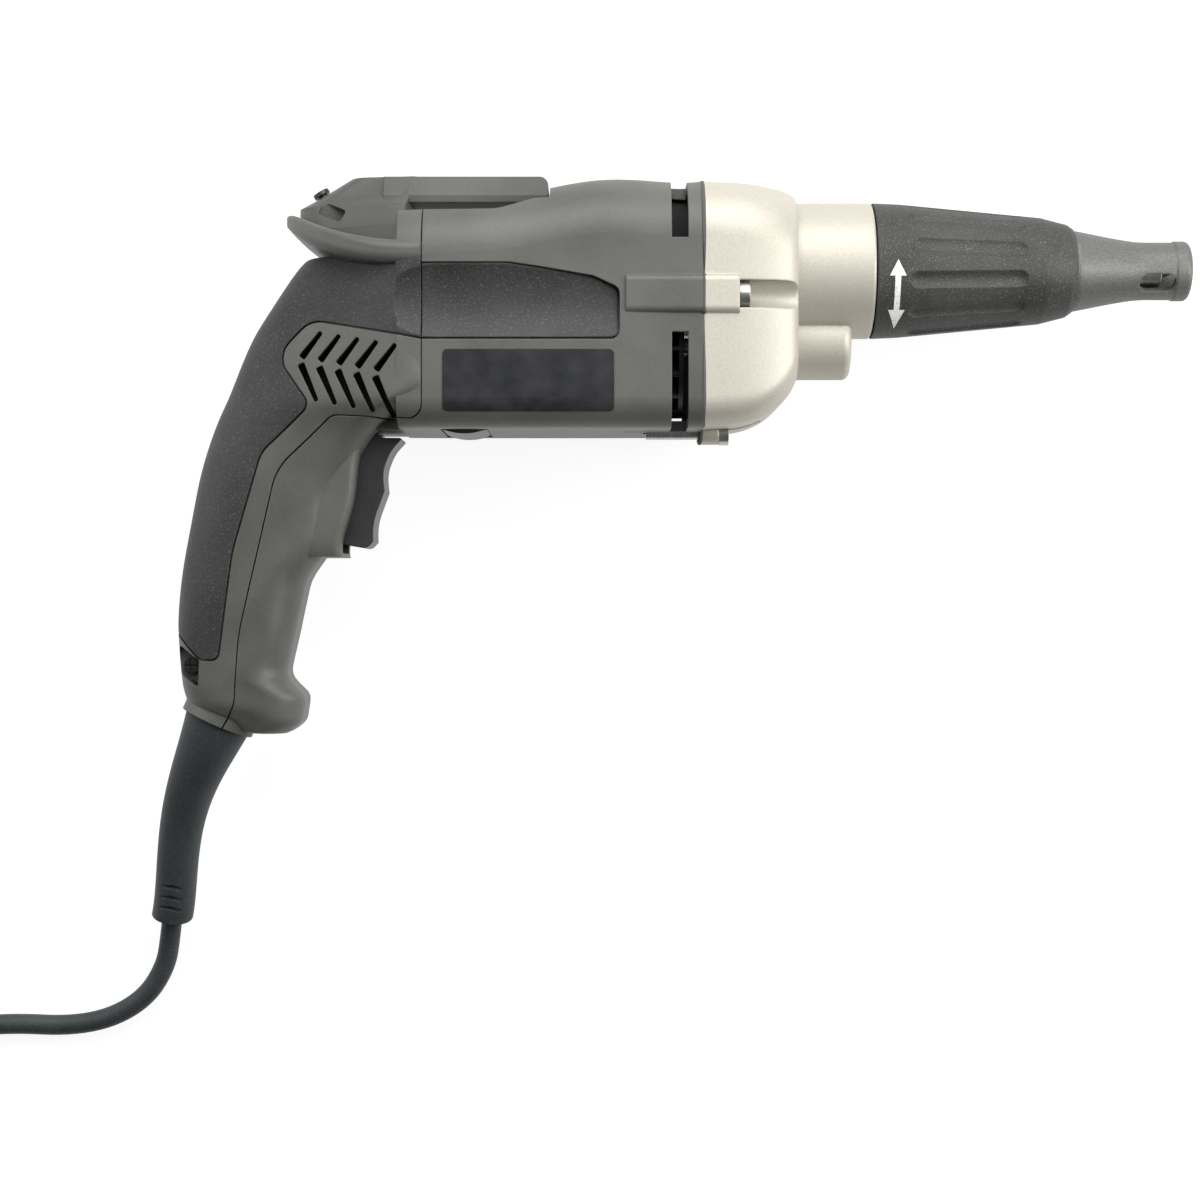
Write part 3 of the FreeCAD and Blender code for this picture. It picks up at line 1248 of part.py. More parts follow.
def make_armature():
    rear = REAR_BEARING_REAR + BEARING_SHIELD
    bush_rear, bush_front = pinion_bush_span()
    root = (PINION_TEETH / 2 - DEDENDUM_SHARE) * GEAR_MODULE
    shaft = rod(SHAFT_RADIUS, rear, PLATE_FRONT + AIR_GAP / 2, -MOTOR_DROP)
    pinion = tooth_ring(PINION_TEETH, PINION_ADDENDUM_SHARE, GEAR_REAR - AIR_GAP, GEAR_FRONT + AIR_GAP,
                        MOTOR_DROP)
    journal = rod(root, PLATE_FRONT, bush_front + AIR_GAP / 2, -MOTOR_DROP)
    bush = ring(PINION_BUSH_RADIUS, root + RUNNING_CLEARANCE, bush_rear + SEAT_CLEARANCE, bush_front,
                -MOTOR_DROP)
    bore = SHAFT_RADIUS + RUNNING_CLEARANCE / 2
    slot = block((STACK_REAR - OVERRUN, STACK_FRONT + OVERRUN),
                 (-MOTOR_DROP + ARMATURE_RADIUS - SLOT_DEPTH, 0), (-SLOT_WIDTH / 2, SLOT_WIDTH / 2))
    core = ring(ARMATURE_RADIUS, bore, STACK_REAR, STACK_FRONT, -MOTOR_DROP)
    core = core.cut(around(slot, ARMATURE_SLOTS, MOTOR_DROP))
    heads = []
    ends = ((STACK_FRONT, STACK_FRONT + END_TURN - AIR_GAP), (STACK_REAR - END_TURN + AIR_GAP, STACK_REAR))
    for near, far in ends:
        edge = END_TURN / 4
        corners = (
            (near + SEAT_CLEARANCE, HUB_RADIUS, 0.0),
            (far - SEAT_CLEARANCE, HUB_RADIUS, 0.0),
            (far - SEAT_CLEARANCE, ARMATURE_RADIUS - SLOT_WIDTH / 4, edge),
            (near + SEAT_CLEARANCE, ARMATURE_RADIUS - SLOT_WIDTH / 4, edge),
        )
        heads.append(turned(corners, MOTOR_DROP))
    slit = block((COMMUTATOR_REAR - OVERRUN, COMMUTATOR_FRONT - COMMUTATOR_GAP / 2),
                 (-MOTOR_DROP + COMMUTATOR_RADIUS - BAR_SLIT, 0), (-BAR_SLIT / 2, BAR_SLIT / 2))
    commutator = ring(COMMUTATOR_RADIUS, bore, COMMUTATOR_REAR, COMMUTATOR_FRONT, -MOTOR_DROP)
    commutator = commutator.cut(around(slit, COMMUTATOR_BARS, MOTOR_DROP))
    return {
        "armature_shaft": fused([shaft, pinion, journal]),
        "armature_core": core,
        "armature_windings": Part.makeCompound(heads),
        "commutator": commutator,
        "pinion_bush": bush,
    }


def make_brushes():
    middle = (COMMUTATOR_REAR + COMMUTATOR_FRONT) / 2
    start = COMMUTATOR_RADIUS + RUNNING_CLEARANCE * 2

    def box(grow, low, high):
        wide = BRUSH_WIDTH / 2 + grow
        tall = BRUSH_HEIGHT / 2 + grow
        return block((middle - wide, middle + wide), (-MOTOR_DROP - tall, -MOTOR_DROP + tall), (low, high))
    inset = SHELL_WALL + SEAT_CLEARANCE
    room = body_form(inset).cut(scoop(inset))
    holder = box(HOLDER_WALL, start + AIR_GAP / 2, SPAN).common(room)
    end = BODY_HALF_WIDTH - SHELL_WALL - SCOOP_DEPTH - HOLDER_WALL
    holder = holder.cut(box(RUNNING_CLEARANCE * 2, 0, end))
    brush = box(0, start, start + BRUSH_LENGTH)
    base = Vector(middle, -MOTOR_DROP, start + BRUSH_LENGTH + RUNNING_CLEARANCE)
    spring = coil_spring(base, Z_AXIS, BRUSH_HEIGHT / 2 - BRUSH_WIRE, BRUSH_WIRE, 2,
                         end - base.z - RUNNING_CLEARANCE)
    pieces = {}
    for name, piece in (("brush_holders", holder), ("carbon_brushes", brush), ("brush_springs", spring)):
        pieces[name] = Part.makeCompound([piece, mirrored(piece)])
    return pieces


# Spindle line

def jaws(start, end, first):
    half = math.radians(JAW_SWEEP / 2)
    reach = 2 * CLUTCH_RADIUS
    corners = (
        (0.0, 0.0, 0.0),
        (reach * math.cos(half), -reach * math.sin(half), 0.0),
        (reach * math.cos(half), reach * math.sin(half), 0.0),
    )
    sector = bar(corners, start, end)
    band = ring(CLUTCH_RADIUS, CLUTCH_BORE, start, end)
    return [copy.common(band) for copy in around(sector, JAW_COUNT, 0.0, first)]


def make_spindle_line():
    gear = tooth_ring(GEAR_TEETH, GEAR_ADDENDUM_SHARE, GEAR_REAR, GEAR_FRONT, 0.0)
    gear = fused([gear] + jaws(GEAR_FRONT - AIR_GAP, JAW_FRONT, 0.0))
    gear = gear.cut([
        rod(JOURNAL_RADIUS + RUNNING_CLEARANCE, GEAR_REAR - OVERRUN, JAW_FRONT + OVERRUN),
        rod(SPRING_POCKET, SPRING_SEAT, JAW_FRONT + OVERRUN),
    ])
    shaft = turned((
        (-JOURNAL_TAIL, 0.0, 0.0),
        (-JOURNAL_TAIL, JOURNAL_RADIUS, NECK_EDGE),
        (FLANGE_REAR, JOURNAL_RADIUS, 0.0),
        (FLANGE_REAR, CLUTCH_RADIUS, 0.0),
        (FLANGE_FRONT, CLUTCH_RADIUS, NECK_EDGE),
        (FLANGE_FRONT, SPINDLE_RADIUS, 0.0),
        (SPINDLE_END, SPINDLE_RADIUS, NECK_EDGE),
        (SPINDLE_END, 0.0, 0.0),
    ))
    spindle = fused([shaft] + jaws(SPINDLE_JAW_REAR, FLANGE_REAR + AIR_GAP, 180.0 / JAW_COUNT))
    flats = HEX_FLATS + 2 * RUNNING_CLEARANCE
    spindle = spindle.cut(hex_bar(flats, SPINDLE_END - HEX_DEPTH, SPINDLE_END + OVERRUN))
    holder = hex_bar(HEX_FLATS, SPINDLE_END - HEX_DEPTH + RUNNING_CLEARANCE, SPINDLE_END + AIR_GAP)
    holder = holder.fuse(turned((
        (SPINDLE_END + AIR_GAP / 2, 0.0, 0.0),
        (SPINDLE_END + AIR_GAP / 2, HOLDER_RADIUS, NECK_EDGE),
        (HOLDER_END, HOLDER_RADIUS, NECK_EDGE),
        (HOLDER_END, 0.0, 0.0),
    )))
    seat = HOLDER_END - BIT_SEAT
    holder = holder.cut(hex_bar(flats, seat - RUNNING_CLEARANCE, HOLDER_END + OVERRUN))
    neck = BIT_TIP - BIT_POINT
    bit = hex_bar(HEX_FLATS, seat, neck).fuse(
        Part.makeCone(BIT_POINT_RADIUS, BIT_WING / 2, BIT_POINT, Vector(neck, 0, 0), X_AXIS))
    flank = block((neck + BIT_WING, BIT_TIP + OVERRUN), (BIT_WING / 2, OVERRUN), (BIT_WING / 2, OVERRUN))
    bit = bit.cut(around(flank, 4))
    base = Vector(SPRING_SEAT + RUNNING_CLEARANCE, 0, 0)
    running_bore = SPINDLE_RADIUS + RUNNING_CLEARANCE
    return {
        "drive_gear": gear,
        "spindle": spindle,
        "bit_holder": holder,
        "screw_bit": bit,
        "clutch_spring": coil_spring(base, X_AXIS, SPRING_RADIUS, SPRING_WIRE, SPRING_TURNS,
                                     FLANGE_REAR - base.x - RUNNING_CLEARANCE),
        "thrust_washer": ring(CHAMBER_RADIUS - AIR_GAP, running_bore, WASHER_REAR, WASHER_FRONT),
        "spindle_bush": ring(BUSH_RADIUS, SPINDLE_RADIUS + RUNNING_CLEARANCE, BUSH_REAR, BUSH_FRONT),
        "spindle_seal": ring(SEAL_RADIUS, running_bore, NOZZLE_END - SEAL_LENGTH, NOZZLE_END),
        "plate_bush": ring(JOURNAL_RADIUS + BUSH_WALL, JOURNAL_RADIUS + RUNNING_CLEARANCE, -JOURNAL_TAIL,
                           PLATE_FRONT),
    }


def make_depth_adjuster():
    lip = NOZZLE_RADIUS + RUNNING_CLEARANCE
    mouth = NOSE_ROOT_RADIUS + MOVING_CLEARANCE
    sleeve = turned((
        (SLEEVE_REAR, lip, 0.0),
        (SLEEVE_REAR, SLEEVE_RADIUS + SLEEVE_STEP, SLEEVE_STEP),
        (SLEEVE_REAR + SLEEVE_SKIRT, SLEEVE_RADIUS, 0.0),
        (SLEEVE_SHOULDER, SLEEVE_SHOULDER_RADIUS, SLEEVE_LIP),
        (SLEEVE_EDGE, SLEEVE_EDGE_RADIUS, NECK_EDGE),
        (SLEEVE_END, mouth + SLEEVE_STEP, SLEEVE_STEP / 2),
        (SLEEVE_END, mouth, 0.0),
        (MOUTH_REAR, mouth, 0.0),
        (MOUTH_REAR, SLEEVE_BORE, 0.0),
        (LIP_FRONT, SLEEVE_BORE, 0.0),
        (LIP_FRONT, lip, 0.0),
    ))
    taper = Vector(SLEEVE_SHOULDER - SLEEVE_REAR - SLEEVE_SKIRT, SLEEVE_SHOULDER_RADIUS - SLEEVE_RADIUS, 0)
    along = Vector(taper).normalize()
    out = Vector(-along.y, along.x, 0)
    corner = Vector(SLEEVE_REAR + SLEEVE_SKIRT, SLEEVE_RADIUS, 0) + out * (FLUTE_RADIUS - FLUTE_DEPTH)
    start = corner + along * FLUTE_RADIUS
    length = taper.Length - 3 * FLUTE_RADIUS
    flute = fused([
        Part.makeCylinder(FLUTE_RADIUS, length, start, along),
        Part.makeSphere(FLUTE_RADIUS, start),
        Part.makeSphere(FLUTE_RADIUS, start + along * length),
    ])
    sleeve = sleeve.cut(around(flute, FLUTE_COUNT, 0.0, 180.0 / FLUTE_COUNT))

    bore = NOZZLE_RADIUS + MOVING_CLEARANCE
    waist = SPINDLE_RADIUS + AIR_GAP
    bend_along, bend_out = NOSE_CURVE_SHARES
    bend = (
        NOSE_CONE_START + bend_along * (NOSE_CONE_END - NOSE_CONE_START),
        NOSE_TIP_RADIUS + bend_out * (NOSE_ROOT_RADIUS - NOSE_TIP_RADIUS),
    )
    nose = turned((
        (NOSE_REAR, bore, 0.0),
        (NOSE_REAR, NOSE_TUBE_RADIUS, 0.0),
        (NOSE_SHOULDER, NOSE_TUBE_RADIUS, 0.0),
        (NOSE_SHOULDER, NOSE_ROOT_RADIUS, 0.0),
        (NOSE_CONE_START, NOSE_ROOT_RADIUS, NECK_EDGE),
        (bend[0], bend[1], NOSE_FLARE),
        (NOSE_CONE_END, NOSE_TIP_RADIUS, NOSE_FLARE / 2),
        (NOSE_END - NOSE_RIM - SLEEVE_STEP, NOSE_TIP_RADIUS, 0.0),
        (NOSE_END - NOSE_RIM, NOSE_RIM_RADIUS, 0.0),
        (NOSE_END, NOSE_RIM_RADIUS, NOSE_TIP_EDGE),
        (NOSE_END, NOSE_BORE, 0.0),
        (NOSE_WAIST, NOSE_BORE, 0.0),
        (NOSE_WAIST, waist, 0.0),
        (NOSE_STEP, waist, 0.0),
        (NOSE_STEP, bore, 0.0),
    ))
    half = WINDOW_WIDTH / 2
    far = WINDOW_LENGTH / 2
    corners = [(WINDOW_CENTRE + a * far, b * half, half * ROUND_END_SHARE) for a, b in SQUARE]
    window = prism(corners, 0, SPAN)
    key = block((NOSE_REAR, NOSE_REAR + KEY_LENGTH),
                (NOZZLE_RADIUS - KEY_DEPTH + MOVING_CLEARANCE, NOSE_TUBE_RADIUS - NOSE_TUBE_WALL / 2),
                (-KEY_WIDTH / 2, KEY_WIDTH / 2))
    nose = fused([nose] + around(key, 2)).cut(around(window, WINDOW_COUNT, 0.0, WINDOW_TURN))
    snap = ring(NOZZLE_RADIUS + RING_PROUD, NOZZLE_RADIUS - RING_DEPTH, RING_REAR, RING_FRONT)
    return {"depth_sleeve": sleeve, "nosepiece": nose, "sleeve_ring": snap}


# Trigger, switch and buttons

def make_controls():
    corners = [(-a * HANDLE_REACH, -d * FOOT_DROP, r * TRIGGER_HALF_WIDTH) for a, d, r in TRIGGER_SHARES]
    rear = ((0, TRIGGER_FOOT + TRIGGER_HEAD), (TRIGGER_REAR, TRIGGER_FOOT), (TRIGGER_REAR, TRIGGER_HEAD))
    for depth, drop in rear:
        point = switch_place(depth, drop)
        corners.append((point.x, point.y, 0.0))
    trigger = prism(corners, -TRIGGER_HALF_WIDTH, TRIGGER_HALF_WIDTH)
    middle = SWITCH_HEIGHT * PLUNGER_SHARE
    root = switch_place(TRIGGER_REAR - SEAT_CLEARANCE, middle)
    trigger = trigger.fuse(Part.makeCylinder(PLUNGER_RADIUS, PLUNGER_LENGTH, root, PULL))
    low = switch_box(0, SWITCH_SETBACK, SWITCH_SETBACK + SWITCH_DEPTH, SWITCH_EDGE, SWITCH_HEIGHT)
    face = switch_place(SWITCH_SETBACK, middle)
    hole = Part.makeCylinder(PLUNGER_RADIUS + RUNNING_CLEARANCE, PLUNGER_LENGTH + AIR_GAP, face - PULL, PULL)
    start = switch_place(TRIGGER_REAR + RUNNING_CLEARANCE, middle)
    spring = coil_spring(start, PULL, RETURN_RADIUS, RETURN_WIRE, RETURN_TURNS,
                         SWITCH_SETBACK - TRIGGER_REAR - 2 * RUNNING_CLEARANCE)
    outer = BLOCK_HALF_WIDTH + BUTTON_PROUD
    inner = TRIGGER_HALF_WIDTH + 2 * MOVING_CLEARANCE + BUTTON_PRESS
    spot = button_place()
    button = Part.makeCylinder(BUTTON_RADIUS, outer - inner, spot - Z_AXIS * outer, Z_AXIS)
    crown = [edge for edge in button.Edges if edge.CenterOfMass.z < -outer + RUNNING_CLEARANCE]
    button = button.makeFillet(BUTTON_HEAD, crown)
    half = BAR_LENGTH / 2
    base = -BODY_BOTTOM - BAR_PROUD
    outline = [(-BAR_CENTRE + a * half, b * BAR_HALF_SPAN, half / 2) for a, b in SQUARE]
    wire = corner_wire(outline, lambda a, b: Vector(a, base, b))
    bow = (half * half + BAR_RISE * BAR_RISE) / (2 * BAR_RISE)
    paddle = Part.Face(wire).extrude(Vector(0, BAR_THICKNESS, 0)).common(
        Part.makeCylinder(bow, 2 * BAR_HALF_SPAN, Vector(-BAR_CENTRE, base + bow, -BAR_HALF_SPAN), Z_AXIS))
    root = Vector(-BAR_CENTRE, base + BAR_THICKNESS / 2, 0)
    stem = Part.makeCylinder(BAR_STEM, BAR_STEM_HEIGHT, root, Y_AXIS)
    return {
        "trigger": trigger,
        "switch_body": low.cut(hole),
        "trigger_spring": spring,
        "lock_button": button,
        "reversing_bar": paddle.fuse(stem),
    }


# Belt hook

def make_hook(outer):
    wires = []
    for up, back, back_radius, front, width in HOOK_SHARES:
        wires.append(egg(
            up * HOOK_TOP if up < 1 else HOOK_TOP,
            -back * HANDLE_REACH,
            back_radius * HANDLE_HALF_WIDTH,
            -front * HANDLE_REACH,
            HOOK_SADDLE_EDGE,
            width * HOOK_HALF_WIDTH if width > 1 else HOOK_TOP_HALF_WIDTH,
        ))
    saddle = Part.makeLoft(wires, True, True)
    section = (
        (HOOK_UNDER, -HOOK_HALF_WIDTH, 0.0),
        (HOOK_BEVEL, -HOOK_HALF_WIDTH, HOOK_EDGE),
        (HOOK_TOP, -HOOK_TOP_HALF_WIDTH, HOOK_EDGE),
        (HOOK_TOP, HOOK_TOP_HALF_WIDTH, HOOK_EDGE),
        (HOOK_BEVEL, HOOK_HALF_WIDTH, HOOK_EDGE),
        (HOOK_UNDER, HOOK_HALF_WIDTH, 0.0),
    )
    arm = bar(section, -BODY_LENGTH - OVERRUN, -HOOK_TIP)
    profile = (
        (-BODY_LENGTH - OVERRUN, HOOK_UNDER, 0.0),
        (-HOOK_TIP, HOOK_UNDER, HOOK_EDGE),
        (-HOOK_TIP, HOOK_TOP, HOOK_TIP_EDGE),
        (-BODY_LENGTH - OVERRUN, HOOK_TOP, 0.0),
    )
    arm = arm.common(prism(profile, -SPAN, SPAN))
    along, up = HOOK_SLOT_SHARES
    half = HOOK_SLOT_WIDTH / 2
    far = HOOK_SLOT_LENGTH / 2
    corners = [(a * far, b * half, HOOK_SLOT_EDGE) for a, b in SQUARE]
    slot = prism(corners, HOOK_SLOT_FLOOR, SPAN)
    slot.rotate(Vector(0, 0, 0), Z_AXIS, -HOOK_SLOT_TURN)
    slot.translate(Vector(-along * HANDLE_REACH, up * HOOK_TOP, 0))
    along, up = HOOK_SCREW_SHARES
    lean = math.radians(HOOK_SCREW_LEAN)
    out = Vector(-math.sin(lean), math.cos(lean), 0)
    spot = Vector(-along * HANDLE_REACH, up * HOOK_TOP, 0)
    hole = Part.makeCylinder(HOOK_SCREW_RADIUS + SEAT_CLEARANCE, SPAN, spot + out * OVERRUN, out * -1)
    seat = Part.makeCylinder(HOOK_SCREW_HEAD + SEAT_CLEARANCE, OVERRUN, spot - out * BUTTON_HEAD, out)
    grown = outer.fuse(tail_form())
    hook = saddle.fuse(arm).cut([grown, both_sides(slot), hole, seat])
    parts = sorted(hook.Solids, key=lambda solid: solid.Volume)
    base = spot - out * (BUTTON_HEAD - SEAT_CLEARANCE)
    screw = Part.makeCylinder(HOOK_SCREW_RADIUS, HOOK_SCREW_LENGTH, base, out * -1)
    head = Part.makeCylinder(HOOK_SCREW_HEAD, HOOK_SCREW_PROUD, base, out)
    return parts[-1], screw.fuse(head), hole


# Cord

def route_point(step):
    return Vector(EXIT.x + step[0], EXIT.y + step[1], -CORD_FALL * step[2])


def rounded_tube(points, radius):
    """Tube along straight runs with the corners rounded as far as the runs allow."""
    edges = []
    radii = []
    last = points[0]
    for index in range(1, len(points) - 1):
        here = points[index]
        back = points[index - 1] - here
        ahead = points[index + 1] - here
        run = CORNER_RUN_SHARE * min(back.Length, ahead.Length)
        back.normalize()
        ahead.normalize()
        start = here + back * run
        end = here + ahead * run
        half = back.getAngle(ahead) / 2
        radii.append(round(run * math.tan(half), 1))
        middle = here + (back + ahead).normalize() * (run / math.cos(half) - run * math.tan(half))
        edges.append(Part.LineSegment(last, start).toShape())
        edges.append(Part.Arc(start, middle, end).toShape())
        last = end
    edges.append(Part.LineSegment(last, points[-1]).toShape())
    shape = tube(edges, points[0], points[1] - points[0], radius)
    length = sum(edge.Length for edge in edges)
    plain = math.pi * radius ** 2 * length
    print("bend radii", radii, "volume against section times length", shape.Volume / plain)
    return shape


def least_gap(edges, radius):
    """Least gap between the turns of a wound tube, measured on points along its middle."""
    count = GAP_POINTS * len(edges)
    path = Part.Wire(edges)
    points = path.discretize(Number=count)
    skip = math.ceil(2 * math.pi * radius * count / path.Length)
    spans = [(points[i] - points[j]).Length for i in range(skip, count) for j in range(i - skip)]
    return min(spans) - 2 * radius


def make_relief():
    points = [route_point(step) for step in RELIEF_STEPS]
    wires = []
    for index, point in enumerate(points):
        before = points[max(index - 1, 0)]
        after = points[min(index + 1, len(points) - 1)]
        aim = EXIT_AIM if index == 0 else after - before
        radius = RELIEF_END_RADIUS + RELIEF_RADIUS_SHARES[index] * (RELIEF_TOP_RADIUS - RELIEF_END_RADIUS)
        if index == 0:
            point = point + EXIT_AIM * SEAT_CLEARANCE
        wires.append(Part.Wire(Part.Circle(point, aim, radius).toShape()))
    sleeve = Part.makeLoft(wires, True, False)
    shank = collar(RELIEF_SHANK, COLLAR_LIP + RELIEF_FLANGE_WIDTH, -CORD_RADIUS)
    seat = COLLAR_LIP + SEAT_CLEARANCE
    flange = collar(RELIEF_FLANGE, seat + RELIEF_FLANGE_WIDTH, seat)
    grooves = []
    for share in GROOVE_SHARES:
        spot = points[-2] + (points[-1] - points[-2]) * share
        along = (points[-1] - points[-2]).normalize()
        corners = []
        for step, side in ((0, 0), (1, 1), (2, 1), (1, 0), (2, -1), (1, -1)):
            lean = RELIEF_GROOVE * step
            wide = RELIEF_END_RADIUS * side
            corner = spot + along * lean + Vector(-along.y, along.x, 0) * wide
            corners.append((corner.x, corner.y, 0.0))
        floor = spot.z + RELIEF_END_RADIUS - RELIEF_GROOVE_DEPTH
        grooves.append(prism(corners, floor, floor + OVERRUN))
    return fused([sleeve, shank, flange]).cut(grooves)


def coil_place(step):
    turn = math.radians(-90 - 90 * step)
    inward = 4 * COIL_TURNS
    pitch = COIL_PITCH / 4
    if step <= inward:
        radius = COIL_OUTER - pitch * step
        rise = 0
    elif step <= inward + 2:
        part = (step - inward) / 2
        radius = COIL_INNERMOST - 2 * pitch * part * (1 - part)
        rise = COIL_LAYER * part * part * (3 - 2 * part)
    else:
        radius = COIL_INNERMOST + pitch * (step - inward - 2)
        rise = COIL_LAYER
    return Vector(COIL_X + radius * math.cos(turn), COIL_Y + radius * math.sin(turn), COIL_LOW + rise)


def make_cord():
    tail = 2 * CORD_RADIUS
    edges, start, start_aim, end, end_aim = wound(coil_place, 8 * COIL_TURNS + 2, tail, PLUG_REACH)
    coil = tube(edges, start, start_aim, CORD_RADIUS)
    print("least gap in the coil", round(least_gap(edges, CORD_RADIUS), 2))
    points = [route_point(step) for step in RELIEF_STEPS[-1:] + CORD_STEPS]
    points += [start - start_aim * (3 * tail), start]
    cord = rounded_tube(points, CORD_RADIUS)
    lead_points = [EXIT + Vector(a, b, 0) for a, b in LEAD_STEPS]
    lead = rounded_tube(lead_points, CORD_RADIUS)

    low = COIL_INNERMOST + COIL_PITCH / 4 - CORD_RADIUS - TIE_SLACK
    high = COIL_OUTER - COIL_PITCH * 3 / 4 + CORD_RADIUS + TIE_GAP
    top = COIL_LOW + COIL_LAYER + CORD_RADIUS + TIE_GAP
    bottom = COIL_LOW - CORD_RADIUS - TIE_GAP
    half = TIE_WIDTH / 2
    wall = TIE_THICKNESS
    band = block((COIL_X + low - wall, COIL_X + high + wall), (COIL_Y - half, COIL_Y + half),
                 (bottom - wall, top + wall))
    tie = band.cut(block((COIL_X + low, COIL_X + high), (COIL_Y - SPAN, COIL_Y + SPAN), (bottom, top)))

    tall = end.z + SIDE_REST
    front = end.x + PLUG_TAIL
    corners = [(end.y + a * PLUG_HALF_WIDTH, end.z + b * tall, PLUG_EDGE) for a, b in SQUARE]
    plug = bar(corners, front, front + PLUG_LENGTH)
    plug = plug.fuse(Part.makeCone(CORD_RADIUS + AIR_GAP, tall - PLUG_EDGE, PLUG_TAIL, end, end_aim))
    blades = []
    for side in (-1, 1):
        y = end.y + side * BLADE_SPACING / 2
        x = front + PLUG_LENGTH
        blades.append(block((x - OVERRUN, x + BLADE_LENGTH),
                            (y - BLADE_THICKNESS / 2, y + BLADE_THICKNESS / 2),
                            (end.z - BLADE_WIDTH / 2, end.z + BLADE_WIDTH / 2)))
    blades = Part.makeCompound(blades)
    slots = []
    for side in (-1, 1):
        y = end.y + side * BLADE_SPACING / 2
        x = front + PLUG_LENGTH
        grown = SEAT_CLEARANCE
        slots.append(block((x - OVERRUN - grown, x + OVERRUN),
                           (y - BLADE_THICKNESS / 2 - grown, y + BLADE_THICKNESS / 2 + grown),
                           (end.z - BLADE_WIDTH / 2 - grown, end.z + BLADE_WIDTH / 2 + grown)))
    return {
        "strain_relief": make_relief(),
        "power_cord": cord,
        "cord_coil": coil,
        "cord_tie": tie,
        "plug_body": plug.cut(slots),
        "plug_blades": blades,
    }, lead


def make_clamp(lead):
    """Bar that grips the cord inside the handle, with its two screws."""
    across = clamp_place(1) - clamp_place(0)
    along = EXIT_AIM
    middle = clamp_place(CORD_RADIUS + SEAT_CLEARANCE)
    corners = []
    for a, b in ((-1, 0), (1, 0), (1, 1), (-1, 1)):
        point = middle + along * (a * CLAMP_WIDTH / 2) + across * (b * CLAMP_THICKNESS)
        corners.append((point.x, point.y, 0.0))
    plate = prism(corners, -CLAMP_LENGTH / 2, CLAMP_LENGTH / 2)
    plate = plate.cut([clamp_screw_holes(CLAMP_SCREW_RADIUS + SEAT_CLEARANCE), lead])
    screws = []
    top = CORD_RADIUS + SEAT_CLEARANCE * 2 + CLAMP_THICKNESS
    for side in (-CLAMP_LENGTH / 2 + CLAMP_SCREW_HEAD, CLAMP_LENGTH / 2 - CLAMP_SCREW_HEAD):
        spot = clamp_place(top, side)
        head = Part.makeCylinder(CLAMP_SCREW_HEAD - MOVING_CLEARANCE, CLAMP_SCREW_RADIUS, spot, across)
        shank = Part.makeCylinder(CLAMP_SCREW_RADIUS, CLAMP_SCREW_LENGTH, spot, across * -1)
        screws.append(head.fuse(shank))
    return plate, Part.makeCompound(screws)


CORD_NODES = ("strain_relief", "power_cord", "cord_coil", "cord_tie", "plug_body", "plug_blades")


def make_nodes():
    nodes = make_housing()
    nodes["cover_screw"] = make_cover_screw()
    nodes["air_guide"] = make_air_guide()
    nodes["gear_case"] = make_gear_case()
    nodes["gear_case_screws"] = make_screws()
    nodes["bearing_plate"] = make_bearing_plate()
    nodes["front_bearing"] = make_bearing(FRONT_BEARING_REAR)
    nodes["rear_bearing"] = make_bearing(REAR_BEARING_REAR)
    nodes["cooling_fan"] = make_fan()
    nodes["fan_baffle"] = make_baffle()
    nodes["field_stack"], nodes["field_coils"] = make_field()
    nodes.update(make_armature())
    nodes.update(make_brushes())
    nodes.update(make_spindle_line())
    nodes.update(make_depth_adjuster())
    nodes.update(make_controls())
    nodes["belt_hook"], nodes["hook_screw"], hole = make_hook(outer_form(0.0).cut(belt_recess(0)))
    nodes["handle_cover"] = nodes["handle_cover"].cut(hole)
    nodes["rear_grip"] = nodes["rear_grip"].cut(hole)
    cord, nodes["cord_lead"] = make_cord()
    nodes.update(cord)
    nodes["cord_clamp"], nodes["clamp_screws"] = make_clamp(nodes["cord_lead"])
    return nodes


if __name__ == "__main__":
    os.makedirs("parts", exist_ok=True)
    nodes = make_nodes()
    box = FreeCAD.BoundBox()
    for name, shape in nodes.items():
        if name not in CORD_NODES:
            box.add(shape.optimalBoundingBox(False))
    shift = Vector(-box.Center.x, -box.Center.y, -box.ZMin)
    for name, shape in nodes.items():
        shape.translate(shift)
        shape.exportStep("parts/%s.step" % name)
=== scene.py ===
import math

import bmesh
import bpy
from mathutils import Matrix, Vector
from mathutils.bvhtree import BVHTree


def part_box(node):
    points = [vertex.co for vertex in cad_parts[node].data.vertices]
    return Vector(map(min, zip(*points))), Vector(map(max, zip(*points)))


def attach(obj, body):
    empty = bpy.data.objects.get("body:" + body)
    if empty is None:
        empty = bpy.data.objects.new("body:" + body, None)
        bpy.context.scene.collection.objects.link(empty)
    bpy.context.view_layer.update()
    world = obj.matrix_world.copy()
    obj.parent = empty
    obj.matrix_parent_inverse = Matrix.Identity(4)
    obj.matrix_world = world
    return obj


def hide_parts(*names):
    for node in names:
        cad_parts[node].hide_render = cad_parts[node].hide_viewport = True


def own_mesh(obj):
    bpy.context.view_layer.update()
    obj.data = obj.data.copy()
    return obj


bl_info = {
    "name": "Drywall screwdriver looks",
    "version": (1, 0, 0),
    "blender": (4, 5, 0),
    "location": "View3D > Sidebar > Screwdriver",
    "description": "Dresses the packed drywall screwdriver with its finishes, cord, marks and studio stage",
    "category": "Object",
}

